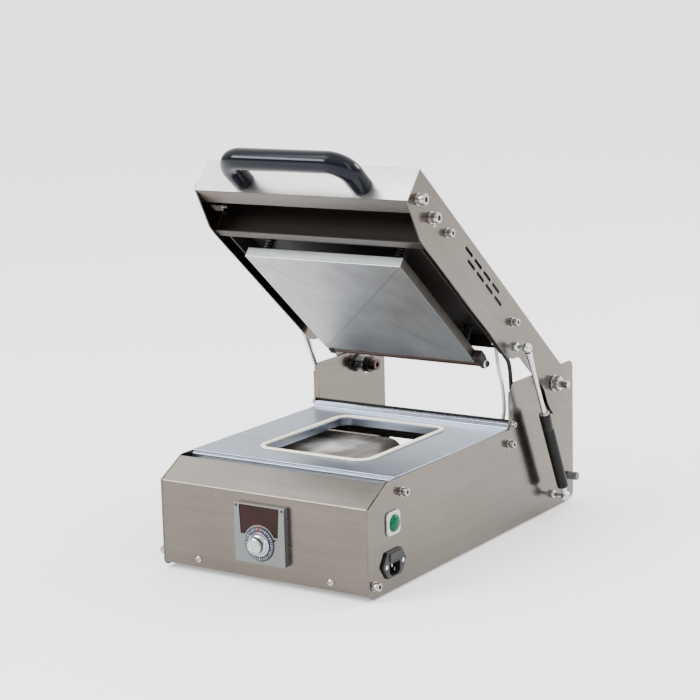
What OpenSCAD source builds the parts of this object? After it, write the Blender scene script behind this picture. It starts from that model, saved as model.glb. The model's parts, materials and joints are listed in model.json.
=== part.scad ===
// Cup and tray sealing machine: sheet-steel base with a sprung heating plate
// in a hinged lid on two gas struts. Origin: floor, centre of the footprint.
// X across, front towards -Y, Z up. The lid is drawn open, as it rests.

/* [Base] */
// Width over the two base side plates
base_w = 300; // [270:1:360]
// Length of the side plates, front to rear
base_l = 514; // [500:1:600]
// Thickness of the side plates
side_t = 2; // [1.5:0.1:2.5]
// Thickness of the folded panels
sheet_t = 1.5; // [1:0.1:2]
// Height of the upright part of the front
face_h = 108.5; // [96:0.5:114]
// Depth of the sloping part of the front
nose_run = 42; // [30:1:52]
// Height of the side plates' long top edge
side_h = 131.5; // [126:0.5:160]
// Front edge of the upstands, from the front
upstand_y = 337; // [330:1:350]
// Height of the upstands
upstand_h = 190.5; // [185:0.5:215]
// Space under the side plates, filled by the feet
foot_gap = 3; // [2:0.5:8]

/* [Worktop] */
// Thickness of the aluminium top plate
plate_t = 10; // [6:0.5:12]
// How far the top plate stands above the side plates
plate_proud = 1.5; // [0.5:0.5:4]
// Front edge of the top plate, from the front
plate_y0 = 61; // [55:1:70]
// Rear edge of the top plate, from the front
plate_y1 = 331; // [325:1:332]
// Outer width of the sealing ring
ring_w = 165; // [140:1:200]
// Outer length of the sealing ring
ring_l = 201; // [180:1:210]
// Front edge of the sealing ring, from the front
ring_y0 = 102; // [95:1:110]
// Outer corner radius of the sealing ring
ring_r = 22; // [16:1:30]
// Width of the sealing ring's section
ring_t = 6; // [4:0.5:8]
// Height of the sealing ring above the top plate
ring_h = 2.5; // [2:0.5:4]

/* [Lid] */
// Angle the lid is open, from closed
lid_open = 40; // [30:1:45]
// Hinge axis, forward of the side plates' rear edge
hinge_back = 61.5; // [55:0.5:70]
// Height of the hinge axis above the side plates' lower edge
hinge_h = 170.4; // [168:0.2:176]
// Hinge axis to the lid's front face
lid_reach = 456; // [440:1:500]
// Height of the lid's top face above the hinge axis
lid_top = 31.5; // [28:0.5:40]
// Depth of the lid's side plates below the hinge axis
lid_low = 36; // [30:0.5:36]
// Height of the lid's front face
hood_face = 46; // [40:1:50]
// Distance from the hinge axis to the lid's inner cross panel
panel_u = 381; // [376:1:390]

/* [Heating plate] */
// Width of the heating plate
heat_w = 226; // [180:1:240]
// Length of the heating plate
heat_l = 229; // [200:1:232]
// Thickness of the heating plate
heat_t = 12.8; // [8:0.2:16]
// Rear edge of the heating plate, from the hinge axis
heat_u0 = 136.5; // [134:0.5:140]
// Lower face of the hanging heating plate, below the hinge axis
heat_v = 50.6; // [48:0.2:51]

/* [Handle and struts] */
// Spacing of the handle's legs
handle_pitch = 170; // [120:1:200]
// Diameter of the handle
handle_d = 27; // [20:0.5:30]
// Handle's centre line, forward of the lid's front face
handle_out = 48.5; // [42:0.5:60]
// Gas strut cylinder diameter
tube_d = 15; // [12:0.5:18]
// Gas strut cylinder length
tube_l = 120; // [110:1:122]
// Gas strut rod diameter
rod_d = 6; // [5:0.5:8]
// Strut centre line, outboard of the base side plates
strut_out = 21; // [19:0.5:26]

/* [Hidden] */
$fn = 64;

// shared positions: y counted from the front, heights from the plates' foot
xo = base_w / 2;                    // outer face of the base side plates
xi = xo - side_t;                   // their inner face
lid_gap = 1;                        // between base and lid side plates
lx0 = xo + lid_gap;                 // inner face of the lid side plates
lx1 = lx0 + side_t;                 // their outer face
hinge_y = base_l - hinge_back;      // hinge axis, from the front
plate_z = side_h + plate_proud;     // top face of the top plate
flange_z = plate_z - plate_t;       // top of the ledges that carry it
ring_top = plate_z + ring_h;
rail_y1 = plate_y1 + 19;            // rear of the aluminium rail
rail_z = plate_z + 7.3;             // top of the rail
bar_y0 = plate_y1 - 6;              // front of the crossbar's top flange
deck_z = flange_z - 21;             // rear deck, top face
deck_y1 = base_l - 44;              // end of its level part
rear_y = base_l - 4;                // outer face of the rear cover
knob_out = 13;                      // dial knob, in front of its bezel
pan_z = 4;                          // foot of the front and rear sheets
pan_in = pan_z + sheet_t;           // underside of the floor pan
flange_h = 27;                      // top of the floor pan's flanges
panel_gap = 0.3;                    // front panel to each side plate
fit = 0.25;                         // clearance round screws, radius
run_fit = 0.08;                     // running fit of the hinge, radius

// panel equipment
therm = [2, 61];                    // thermostat centre, X and height
therm_s = 71.5;                     // its square front
therm_t = 8;                        // how far it stands out
mid_y = (base_l - therm_t - knob_out) / 2;  // middle of the whole outline
dial_c = [2, 50];                   // dial centre, X and height
lamp = [52, 81];                    // pilot lamp, from front and height
inlet = [51, 33];                   // mains inlet, from front and height

// screws: M6 on the base, M4 on the rail, M8 and M6 on the lid
front_low = [9, 16];
front_up = [plate_y0 + 12.5, flange_z - 9.5];
rear_up = [plate_y1 + 3.5, flange_z - 9.5];
rail_fix = [upstand_y + 6.5, plate_z + 4];
slot_c = [upstand_y + 9, plate_z + 17];
face_fix = 96;
face_fix_h = 15;
peg_c = [500, 34];
m8_at = [[438, -0.5], [400, -1]];
m6_at = [[357, 5.5], [149, 5.5]];

// struts: lower ball on the base, upper ball on the lid (u, v)
ball_lo = [450, 20];
ball_up = [124.5, -16.5];
ball_r = 5;
strut_x = xo + strut_out;

// heating plate hangs on four sprung studs
heat_u1 = heat_u0 + heat_l;
heat_top = -heat_v + heat_t;
stud_x = heat_w / 2 - 17;
stud_u = [heat_u0 + 18, heat_u1 - 18];
frame_v = -4;                       // top face of the press frame
frame_t = 2.5;                      // its wall
frame_low = -30;                    // lower edge of its side walls
frame_x = xo - 10;                  // its half width
frame_u0 = 126;
frame_u1 = panel_u - 3;
rod_c = [heat_u0 - 5.5, 2.6 - heat_v];  // rear rod, centre
rod_r = 4.15;
cable_r = 4;
sleeve_r = 3;
cable_hole = [frame_x - 7, -15];  // X and v in the frame's rear wall
sleeve_hole = [cable_hole[0] - cable_r - sleeve_r - 1.8, -15];
duct_y = rail_y1 + 22;              // where both leads enter the deck
duct_x = [xi - 10, xi - 27];
strut_foot = 17;                    // lower ball to the cylinder
strut_head = 7;                     // upper ball to the rod's end

// points from the hinge axis towards the lid's front (u) and top (v)
function lid_pt(u, v) = [
    hinge_y - u * cos(lid_open) + v * sin(lid_open),
    hinge_h + u * sin(lid_open) + v * cos(lid_open)
];
up_pt = lid_pt(ball_up[0], ball_up[1]);
strut_dy = up_pt[0] - ball_lo[0];
strut_dz = up_pt[1] - ball_lo[1];
strut_len = sqrt(strut_dy * strut_dy + strut_dz * strut_dz);
strut_lean = atan2(-strut_dy, strut_dz);

// outline of a sheet t thick, laid on the left of path p
function unit(v) = v / norm(v);
function left(v) = [-v[1], v[0]];
function seg_n(p, i) = left(unit(p[i + 1] - p[i]));
function miter(p, i) =
    i == 0 ? seg_n(p, 0)
    : i == len(p) - 1 ? seg_n(p, i - 1)
    : (seg_n(p, i - 1) + seg_n(p, i)) / (1 + seg_n(p, i - 1) * seg_n(p, i));
function strip(p, t) = concat(
    p,
    [for (i = [len(p) - 1 : -1 : 0]) p[i] + t * miter(p, i)]
);

// base frame: y from the front, z from the foot of the side plates
module base_at(x, y, z) {
    translate([x, y - mid_y, z + foot_gap]) children();
}

// extrudes a (y, z) outline from x0 to x1 in the base frame
module base_x(x0, x1) {
    base_at(x0, 0, 0) rotate([90, 0, 90]) linear_extrude(x1 - x0) children();
}

// faces right or left from the outer face of a side plate
module out_right(x, y, z) {
    base_at(x, y, z) rotate([0, 90, 0]) children();
}

module out_left(x, y, z) {
    base_at(-x, y, z) rotate([0, -90, 0]) children();
}

module out_both(x, y, z) {
    out_right(x, y, z) children();
    out_left(x, y, z) children();
}

// lid frame: children use X, -u and v
module on_lid() {
    base_at(0, hinge_y, hinge_h) rotate([-lid_open, 0, 0]) children();
}

// extrudes a (u, v) outline from x0 to x1 in the lid frame
module lid_x(x0, x1) {
    on_lid() translate([x0, 0, 0]) rotate([90, 0, 90])
        linear_extrude(x1 - x0) mirror([1, 0]) children();
}

module lid_out_both(x, u, v) {
    on_lid() translate([x, -u, v]) rotate([0, 90, 0]) children();
    on_lid() translate([-x, -u, v]) rotate([0, -90, 0]) children();
}

module disc_at(p, r) {
    translate(p) circle(r);
}

module rounded(w, h, r) {
    square([w - 2 * r, h], center = true);
    square([w, h - 2 * r], center = true);
    for (i = [-1, 1], j = [-1, 1])
        translate([i * (w / 2 - r), j * (h / 2 - r)]) circle(r);
}

// socket-head screw along +Z: washers, head, shank running below z = 0
module cap_screw(d, wash, head_d, head_h, shank) {
    difference() {
        union() {
            cylinder(d = head_d + 2, h = wash * 0.5);
            translate([0, 0, wash * 0.5])
                cylinder(d = head_d - 0.6, h = wash * 0.5);
            translate([0, 0, wash]) cylinder(d = head_d, h = head_h);
            translate([0, 0, -shank]) cylinder(d = d, h = shank);
        }
        translate([0, 0, wash + head_h * 0.45])
            cylinder(d = head_d * 0.55, h = head_h, $fn = 6);
    }
}

module hex_nut(af, h, bore) {
    difference() {
        cylinder(d = af / cos(30), h = h, $fn = 6);
        translate([0, 0, -1]) cylinder(d = bore, h = h + 2);
    }
}

// tube swept through points p as one closed solid
function tan_at(p, i) =
    i == 0 ? unit(p[1] - p[0])
    : i == len(p) - 1 ? unit(p[i] - p[i - 1])
    : unit(p[i + 1] - p[i - 1]);
function side_of(t) = unit(cross(t, [0.31, 0.17, -0.94]));
function carry(p, i) =
    i == 0 ? side_of(tan_at(p, 0))
    : let (c = carry(p, i - 1), t = tan_at(p, i)) unit(c - (c * t) * t);
function ring_pts(p, i, r, n) =
    let (t = tan_at(p, i), a = carry(p, i), b = cross(t, a))
    [for (k = [0 : n - 1])
        p[i] + r * (cos(360 * k / n) * a + sin(360 * k / n) * b)];

module tube(p, r, n) {
    m = len(p);
    polyhedron(
        [for (i = [0 : m - 1]) each ring_pts(p, i, r, n)],
        concat(
            [[for (k = [0 : n - 1]) k]],
            [for (i = [0 : m - 2], k = [0 : n - 1])
                [i * n + k, (i + 1) * n + k,
                 (i + 1) * n + (k + 1) % n, i * n + (k + 1) % n]],
            [[for (k = [n - 1 : -1 : 0]) (m - 1) * n + k]]
        )
    );
}

// smooth points through hand-picked ones
function cr(a, b, c, d, t) =
    0.5 * (2 * b + (c - a) * t + (2 * a - 5 * b + 4 * c - d) * t * t
        + (3 * b - a - 3 * c + d) * t * t * t);
function smooth(p, s) = concat(
    [for (i = [0 : len(p) - 2], j = [0 : s - 1])
        cr(p[max(i - 1, 0)], p[i], p[i + 1],
           p[min(i + 2, len(p) - 1)], j / s)],
    [p[len(p) - 1]]
);

// base side plates
module side_outline() {
    difference() {
        polygon([
            [0, 0], [0, face_h], [nose_run, side_h], [upstand_y, side_h],
            [upstand_y, upstand_h], [base_l, upstand_h], [base_l, 0]
        ]);
        nick([0, 0], 8, 1, 1);
        nick([base_l, 0], 12, -1, 1);
        nick([upstand_y, upstand_h], 14, 1, -1);
        nick([base_l, upstand_h], 10, -1, -1);
    }
}

// takes the corner p off square to radius r; sx, sy point into the sheet
module nick(p, r, sx, sy) {
    difference() {
        translate(p + [sx, sy] * (r - 1) / 2) square(r + 1, center = true);
        translate(p + [sx, sy] * r) circle(r);
    }
}

module side_holes() {
    for (p = [front_low, front_up, rear_up, peg_c, ball_lo])
        disc_at(p, 3 + fit);
    disc_at(rail_fix, 2 + fit);
    disc_at([hinge_y, hinge_h], 5 + fit);
    translate(slot_c) square([2.5, 16], center = true);
}

module base_side_right() {
    color("#a39d94") base_x(xi, xo) difference() {
        side_outline();
        side_holes();
        disc_at(lamp, 10.6);
        translate(inlet) square([27.6, 30.6], center = true);
        for (i = [-1, 1]) disc_at(inlet + [i * 18, -1], 1.5 + fit);
    }
}

module base_side_left() {
    color("#a39d94") base_x(-xo, -xi) difference() {
        side_outline();
        side_holes();
    }
}

module front_panel() {
    color("#aaa59c") difference() {
        base_x(-xi + panel_gap, xi - panel_gap) polygon(strip([
            [plate_y0 + 5, flange_z], [nose_run, flange_z],
            [nose_run, side_h], [0, face_h], [0, pan_z], [16, pan_z]
        ], sheet_t));
        base_at(therm[0], 0, therm[1])
            cube([therm_s - 6.4, 10, therm_s - 6.4], center = true);
        for (i = [-1, 1])
            base_at(i * face_fix, 0, face_fix_h) rotate([-90, 0, 0])
                cylinder(r = 2.5 + fit, h = 20, center = true);
    }
}

module floor_pan() {
    color("#8f8b84") difference() {
        union() {
            base_at(-xi, sheet_t, pan_in)
                cube([2 * xi, rear_y - 2 * sheet_t, sheet_t]);
            base_at(-xi + panel_gap, sheet_t, pan_in)
                cube([2 * xi - 2 * panel_gap, sheet_t, flange_h - pan_in]);
            for (x = [-xi, xi - sheet_t])
                base_at(x, sheet_t, pan_in)
                    cube([sheet_t, rear_y - 2 * sheet_t, flange_h - pan_in]);
        }
        base_x(-xo, xo) {
            disc_at(front_low, 3 + fit);
            disc_at(ball_lo, 3 + fit);
        }
        base_x(0, xo) translate(inlet) square([28.6, 31], center = true);
        for (i = [-1, 1])
            base_at(i * face_fix, 0, face_fix_h) rotate([-90, 0, 0])
                cylinder(r = 2.5 + fit, h = 20, center = true);
    }
}

// rear wall with a wide vent and the deck the leads go through
module rear_cover() {
    color("#8f8b84") difference() {
        base_x(-xi, xi) polygon(strip([
            [rear_y, pan_z], [rear_y, deck_z - 17],
            [deck_y1, deck_z], [rail_y1, deck_z]
        ], sheet_t));
        base_at(0, rear_y, 48) rotate([90, 0, 0])
            linear_extrude(20, center = true) rounded(2 * xi - 18, 54, 8);
        for (x = duct_x)
            base_at(x, duct_y, deck_z) cylinder(r = 6.5, h = 10, center = true);
    }
}

module crossbar() {
    color("#9c978f") base_x(-xi, xi) polygon(strip([
        [rail_y1, deck_z - 3], [rail_y1, flange_z], [bar_y0, flange_z]
    ], sheet_t));
}

// angle along each side plate that carries the top plate
module plate_ledges() {
    y0 = plate_y0 + 5;
    color("#8f8b84") for (i = [-1, 1]) difference() {
        union() {
            base_at(i > 0 ? xi - 14 : -xi, y0, flange_z - sheet_t)
                cube([14, bar_y0 - y0, sheet_t]);
            base_at(i > 0 ? xi - sheet_t : -xi, y0, flange_z - 23)
                cube([sheet_t, rail_y1 - sheet_t - y0, 23 - sheet_t]);
        }
        base_x(-xo, xo) {
            disc_at(front_up, 3 + fit);
            disc_at(rear_up, 3 + fit);
        }
    }
}

module feet() {
    color("#26262a") for (x = [-1, 1], y = [36, base_l - 36])
        base_at(x * (xi - 26), y, -foot_gap)
            cylinder(d = 22, h = foot_gap + pan_in);
}

// worktop
module opening() {
    base_at(0, ring_y0 + ring_l / 2, 0) linear_extrude(3 * plate_z)
        rounded(ring_w - 2 * ring_t, ring_l - 2 * ring_t, ring_r - ring_t);
}

module top_plate() {
    color("#a9b0b8") difference() {
        base_x(-xi, xi) polygon([
            [plate_y0, flange_z], [plate_y0, plate_z - 4.4],
            [plate_y0 + 0.8, plate_z - 3.6], [plate_y0 + 2.4, plate_z - 3.2],
            [plate_y0 + 2.4, plate_z - 0.9], [plate_y0 + 3.4, plate_z],
            [plate_y1, plate_z], [plate_y1, flange_z]
        ]);
        opening();
    }
}

module rear_rail() {
    y = plate_y1;
    color("#b4bac1") difference() {
        base_x(-xi, xi) polygon([
            [y, flange_z], [y, plate_z + 1.5], [y + 2, plate_z + 1.5],
            [y + 2.6, plate_z], [y + 5, plate_z], [y + 5.4, rail_z - 1.8],
            [y + 7.2, rail_z], [rail_y1, rail_z], [rail_y1, flange_z]
        ]);
        out_both(xo, rail_fix[0], rail_fix[1])
            cylinder(r = 2.05, h = 28, center = true);
    }
}

module rail_trim() {
    y = plate_y1 + 10;
    color("#1b1b1d") base_x(0.5 - xi, xi - 0.5) polygon([
        [y, rail_z], [y, rail_z + 3.4], [y + 0.9, rail_z + 4.3],
        [y + 4.6, rail_z + 4.3], [y + 5.5, rail_z + 3.4], [y + 5.5, rail_z]
    ]);
}

module seal_ring() {
    color("#f3efdc") base_at(0, ring_y0 + ring_l / 2, plate_z)
        linear_extrude(ring_h) difference() {
            rounded(ring_w, ring_l, ring_r);
            rounded(ring_w - 2 * ring_t, ring_l - 2 * ring_t, ring_r - ring_t);
        }
}

// bent cover over the wiring, seen through the worktop's opening
module inner_cover() {
    foot = pan_in + sheet_t;
    top = flange_z - 13;
    r = 20;
    color("#bdb9b0") base_at(0, ring_y0 + ring_l + 2, 0) rotate([90, 0, 0])
        linear_extrude(ring_l + 8) {
            translate([-130, foot]) square([sheet_t, top - foot]);
            translate([-130, top - sheet_t]) square([120, sheet_t]);
            translate([10 - sheet_t, foot]) square([sheet_t, top - r - foot]);
            intersection() {
                translate([-10, top - r]) difference() {
                    circle(r);
                    circle(r - sheet_t);
                }
                translate([-10, top - r]) square(r);
            }
        }
}

// screws of the base
module side_screws() {
    color("#c9cbcd") for (p = [front_low, front_up, rear_up])
        out_both(xo, p[0], p[1]) cap_screw(6, 2.7, 10, 6, 11);
}

module side_nuts() {
    color("#c9cbcd") {
        for (p = [front_low, front_up, rear_up, ball_lo])
            out_both(xi - sheet_t - 5, p[0], p[1]) hex_nut(10, 5, 6.1);
        out_both(xi - 5, peg_c[0], peg_c[1]) hex_nut(10, 5, 6.1);
    }
}

module rail_screws() {
    color("#c9cbcd") out_both(xo, rail_fix[0], rail_fix[1])
        cap_screw(4, 1.6, 7, 4, 12);
}

module dome(r, h) {
    big = (r * r + h * h) / (2 * h);
    intersection() {
        translate([0, 0, h - big]) sphere(big);
        cylinder(r = r + 1, h = h + 1);
    }
}

module front_screws() {
    color("#d6d6d4") for (i = [-1, 1])
        base_at(i * face_fix, 0, face_fix_h) rotate([90, 0, 0]) difference() {
            union() {
                dome(4.7, 2.8);
                translate([0, 0, -8]) cylinder(r = 2.5, h = 8);
            }
            translate([0, 0, 1.6]) cylinder(r = 1.6, h = 3, $fn = 6);
        }
}

// thermostat in the front
module therm_2d(y0, y1) {
    base_at(0, y1, 0) rotate([90, 0, 0]) linear_extrude(y1 - y0) children();
}

module window_2d(g) {
    difference() {
        polygon([
            [therm[0] - 29 + g, therm[1] + 34.6 - g],
            [therm[0] + 29 - g, therm[1] + 34.6 - g],
            [therm[0] + 26.5 - g, therm[1] - 1 + g],
            [therm[0] - 27.5 + g, therm[1] - 1 + g]
        ]);
        disc_at(dial_c, 23 + g);
    }
}

module thermostat_bezel() {
    color("#b9bbb8") difference() {
        therm_2d(-therm_t, 0) translate(therm) rounded(72, therm_s, 1.5);
        therm_2d(-therm_t - 1, -therm_t + 2) window_2d(0);
        therm_2d(-therm_t - 1, -therm_t + 2) disc_at(dial_c, 21.3);
        therm_2d(-therm_t - 1, 1) disc_at(dial_c, 3.4);
        for (i = [-1, 1])
            therm_2d(-therm_t - 1, -therm_t + 3)
                disc_at([therm[0] + i * 33, therm[1] + 33.2], 1.5);
        base_x(-xo, xo) translate([-therm_t, therm[1] + therm_s / 2])
            rotate(45) square(3, center = true);
    }
}

module thermostat_window() {
    color("#2a1712") therm_2d(1 - therm_t, 2 - therm_t) window_2d(0.05);
}

module thermostat_case() {
    color("#2b2b2e") difference() {
        therm_2d(0, 46) translate(therm) rounded(64.5, 64.5, 2);
        therm_2d(-1, 14) disc_at(dial_c, 3 + run_fit);
    }
}

module thermostat_pins() {
    color("#18181a") for (i = [-1, 1])
        therm_2d(0.2 - therm_t, 3 - therm_t)
            disc_at([therm[0] + i * 33, therm[1] + 33.2], 1.45);
}

module dial_skirt() {
    color("#4a4f5c") {
        therm_2d(-therm_t - 1.3, 2 - therm_t - 0.3) disc_at(dial_c, 20.6);
        therm_2d(1.7 - therm_t, 12) disc_at(dial_c, 3);
    }
}

module dial_knob() {
    color("#c3c5c8") {
        therm_2d(-therm_t - 6, -therm_t - 1.3) disc_at(dial_c, 15.5);
        therm_2d(-therm_t - knob_out, -therm_t - 6) disc_at(dial_c, 12);
    }
}

// pilot lamp and mains inlet in the right side plate
module pilot_body() {
    color("#c4c6c6") {
        base_x(xo, xo + 2.5) translate(lamp) rounded(28.5, 28.5, 6);
        base_x(xo - 28, xo) disc_at(lamp, 10.3);
    }
}

module pilot_lens() {
    color("#12a066") out_right(xo + 2.5, lamp[0], lamp[1]) dome(10.5, 5);
}

module inlet_hex() {
    intersection() {
        polygon([[-26, 0], [-15.5, 15.8], [15.5, 15.8],
                 [26, 0], [15, -15.8], [-15, -15.8]]);
        circle(24.9);
    }
}

module inlet_body() {
    color("#1d1d20") difference() {
        union() {
            base_x(xo, xo + 3) translate(inlet) inlet_hex();
            base_x(xo - 32, xo) translate(inlet)
                square([27, 30], center = true);
        }
        base_x(xo - 13, xo + 4) translate(inlet) polygon([
            [-11.5, 0.8], [11.5, 0.8], [11.5, -9.5],
            [7, -14.2], [-7, -14.2], [-11.5, -9.5]
        ]);
        base_x(xo - 28, xo + 4) translate(inlet + [0, 8.5])
            square([23.6, 11.8], center = true);
        for (i = [-1, 1]) {
            base_x(xo - 1, xo + 4) disc_at(inlet + [i * 18, -1], 1.5 + fit);
            base_x(xo + 2.2, xo + 4) disc_at(inlet + [i * 18, -1], 2.8);
        }
    }
}

module inlet_pins() {
    color("#d8dadc") {
        base_x(xo - 13, xo - 1) translate(inlet + [0, -3.5])
            square([2, 4], center = true);
        for (i = [-1, 1])
            base_x(xo - 13, xo - 1) translate(inlet + [i * 6, -9])
                square([2, 4], center = true);
    }
}

module inlet_screws() {
    color("#d8dadc") for (i = [-1, 1]) {
        base_x(xo - 6, xo + 2.2) disc_at(inlet + [i * 18, -1], 1.5);
        base_x(xo + 2.2, xo + 3.5) disc_at(inlet + [i * 18, -1], 2.7);
    }
}

module fuse_drawer() {
    color("#232326") {
        base_x(xo - 26, xo + 3.2) translate(inlet + [0, 8.5])
            square([23, 11.2], center = true);
        base_x(xo + 3.2, xo + 4.6) translate(inlet + [0, 9])
            square([22, 9], center = true);
    }
}

// hinges
module hinge_bolts() {
    color("#b9bbbd") out_both(0, hinge_y, hinge_h) difference() {
        union() {
            translate([0, 0, xi - 17]) cylinder(r = 5, h = 42 + side_t);
            translate([0, 0, xi - 27]) cylinder(r = 8, h = 10);
        }
        translate([0, 0, xi - 28]) cylinder(r = 4, h = 6, $fn = 6);
    }
}

module washer(r, bore, h) {
    difference() {
        cylinder(r = r, h = h);
        translate([0, 0, -1]) cylinder(r = bore, h = h + 2);
    }
}

module hinge_nuts() {
    color("#c9cbcd") out_both(0, hinge_y, hinge_h) {
        translate([0, 0, lx1 + 0.3]) washer(10.5, 5.05, 2.2);
        translate([0, 0, lx1 + 2.5]) hex_nut(17, 8.5, 10.1);
        translate([0, 0, xi - 8]) hex_nut(17, 8, 10.1);
        translate([0, 0, xi - 10]) washer(13, 5.05, 2);
    }
}

module hinge_bushes() {
    color("#202022") out_both(0, hinge_y, hinge_h) {
        translate([0, 0, xi - 17]) washer(11.5, 5.05, 7);
        translate([0, 0, xo]) washer(10, 5.05, 0.7);
    }
}

module ball_stud(reach, ball, deep) {
    hex_neck = 5;
    cylinder(d = 10 / cos(30), h = hex_neck, $fn = 6);
    cylinder(r = 3, h = reach - 2);
    translate([0, 0, -deep]) cylinder(r = 3, h = deep);
    translate([0, 0, reach]) sphere(ball);
}

module lower_studs() {
    color("#c9cbcd") out_both(xo, ball_lo[0], ball_lo[1])
        ball_stud(strut_out, ball_r, 10);
}

module rear_pegs() {
    color("#77777a") out_both(xo, peg_c[0], peg_c[1]) {
        cylinder(d = 11, h = 14);
        translate([0, 0, -8]) cylinder(r = 3, h = 8);
    }
}

// leads from the lid into the base
module cable_grommets() {
    color("#1d1d1f") for (i = [0, 1]) base_at(duct_x[i], duct_y, deck_z)
        difference() {
            union() {
                translate([0, 0, -3]) cylinder(r = 8.2, h = 1.5);
                translate([0, 0, -1.5]) cylinder(r = 6.5, h = 1.5);
                cylinder(r = 8.2, h = 2);
            }
            cylinder(r = (i == 0 ? cable_r : sleeve_r) + 0.3, h = 12,
                     center = true);
        }
}

module terminal_block() {
    color("#d9d7cf") difference() {
        base_at(40, 240, pan_in + sheet_t) cube([42, 26, 18]);
        for (i = [0 : 3])
            base_at(46 + i * 10, 247, pan_in + sheet_t + 12)
                cylinder(r = 2.6, h = 10);
    }
}

// points of a lead, in the base frame
function in_base(x, q) = [x, q[0], q[1]];

// both go straight down through their grommets
function down(i) = [
    [duct_x[i], duct_y - 1, deck_z + 28], [duct_x[i], duct_y, deck_z + 9],
    [duct_x[i], duct_y, deck_z - 7], [duct_x[i], duct_y, deck_z - 20]
];

module lid_cable() {
    x = cable_hole[0];
    v = cable_hole[1];
    color("#19191b") base_at(0, 0, 0) tube(smooth(concat([
        in_base(x, lid_pt(frame_u0 + 14, v)),
        in_base(x, lid_pt(frame_u0 + 4, v)),
        in_base(x, lid_pt(frame_u0 - 4, v - 0.2)),
        in_base(x + 1, lid_pt(frame_u0 - 12, v - 7)),
        [duct_x[0] - 0.5, duct_y - 13, 213],
        [duct_x[0], duct_y - 9, 190], [duct_x[0], duct_y - 7, 160]
    ], down(0), [
        [duct_x[0] - 14, duct_y - 22, 45], [92, 312, 24],
        [76, 286, 18], [72, 266.5, 17]
    ]), 3), cable_r, 10);
}

module sensor_tube() {
    x = sleeve_hole[0];
    v = sleeve_hole[1];
    color("#c9ccc9") base_at(0, 0, 0) tube(smooth(concat([
        in_base(x, lid_pt(frame_u0 + 14, v)),
        in_base(x, lid_pt(frame_u0 + 4, v)),
        in_base(x, lid_pt(frame_u0 - 4, v - 0.3)),
        in_base(x + 0.5, lid_pt(frame_u0 - 12, v - 8)),
        [duct_x[1] + 2, duct_y - 24, 205], [duct_x[1] + 2, duct_y - 21, 180],
        [duct_x[1] + 1, duct_y - 10, 150]
    ], down(1), [
        [112, 330, 45], [100, 250, 30], [88, 160, 24], [60, 96, 36],
        [26, 76, 50], [20, 62, 52], [20, 46.4, 52]
    ]), 3), sleeve_r, 8);
}

// lid
module lid_outline() {
    difference() {
        polygon([
            [lid_reach - sheet_t, lid_top - sheet_t],
            [lid_reach - sheet_t, lid_top - hood_face],
            [lid_reach - 52, 1.2 - lid_low], [lid_reach - 66, -lid_low],
            [128, -lid_low], [117, -30], [109, -23.5], [101, -20],
            [25, -19], [16, -20.5], [6.5, -25], [-3, -29], [-16, -31.5],
            [-27, -32.4], [-34, -25], [-34, lid_top - 8],
            [-26, lid_top - sheet_t]
        ]);
        disc_at([0, 0], 5 + run_fit);
        for (p = m8_at) disc_at(p, 4 + fit);
        for (p = m6_at) disc_at(p, 3 + fit);
        disc_at(ball_up, 3 + fit);
        disc_at([panel_u + 6, -3.5], 1.7);
        for (i = [0 : 3]) {
            translate([298 - i * 28.2, 16]) slot_2d(22, 4.4);
            translate([283.5 - i * 28.2, 6.3]) slot_2d(22, 4.4);
        }
    }
}

module slot_2d(l, w) {
    square([l - w, w], center = true);
    for (i = [-1, 1]) translate([i * (l - w) / 2, 0]) circle(d = w);
}

module lid_side_right() {
    color("#a09a91") lid_x(lx0, lx1) lid_outline();
}

module lid_side_left() {
    color("#a09a91") lid_x(-lx1, -lx0) lid_outline();
}

module box_2d(u0, v0, u1, v1) {
    translate([u0, v0]) square([u1 - u0, v1 - v0]);
}

module lid_hood() {
    low = lid_top - hood_face;
    back = 103;
    color("#c2bfb8") difference() {
        union() {
            lid_x(-lx1, lx1) polygon(strip([
                [lid_reach, low], [lid_reach, lid_top], [back, lid_top]
            ], sheet_t));
            lid_x(0.2 - lx0, lx0 - 0.2) {
                box_2d(lid_reach - 27, low, lid_reach - 1, low + sheet_t);
                box_2d(back, lid_top - 8.5, back + sheet_t, lid_top - 1);
            }
        }
        for (i = [-1, 1]) on_lid()
            translate([i * handle_pitch / 2, -lid_reach, 1.5])
                rotate([90, 0, 0]) cylinder(r = 4 + fit, h = 8, center = true);
    }
}

module cross_panel() {
    color("#6f6a64") difference() {
        lid_x(-lx0, lx0) {
            box_2d(panel_u, -33, panel_u + sheet_t, lid_top - sheet_t);
            box_2d(panel_u, -33, panel_u + 12, -33 + sheet_t);
        }
    }
    color("#6f6a64") for (x = [-lx0, lx0 - sheet_t])
        lid_x(x, x + sheet_t) difference() {
            box_2d(panel_u, -32, panel_u + 12, 10);
            disc_at([panel_u + 6, -3.5], 1.7);
        }
}

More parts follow.
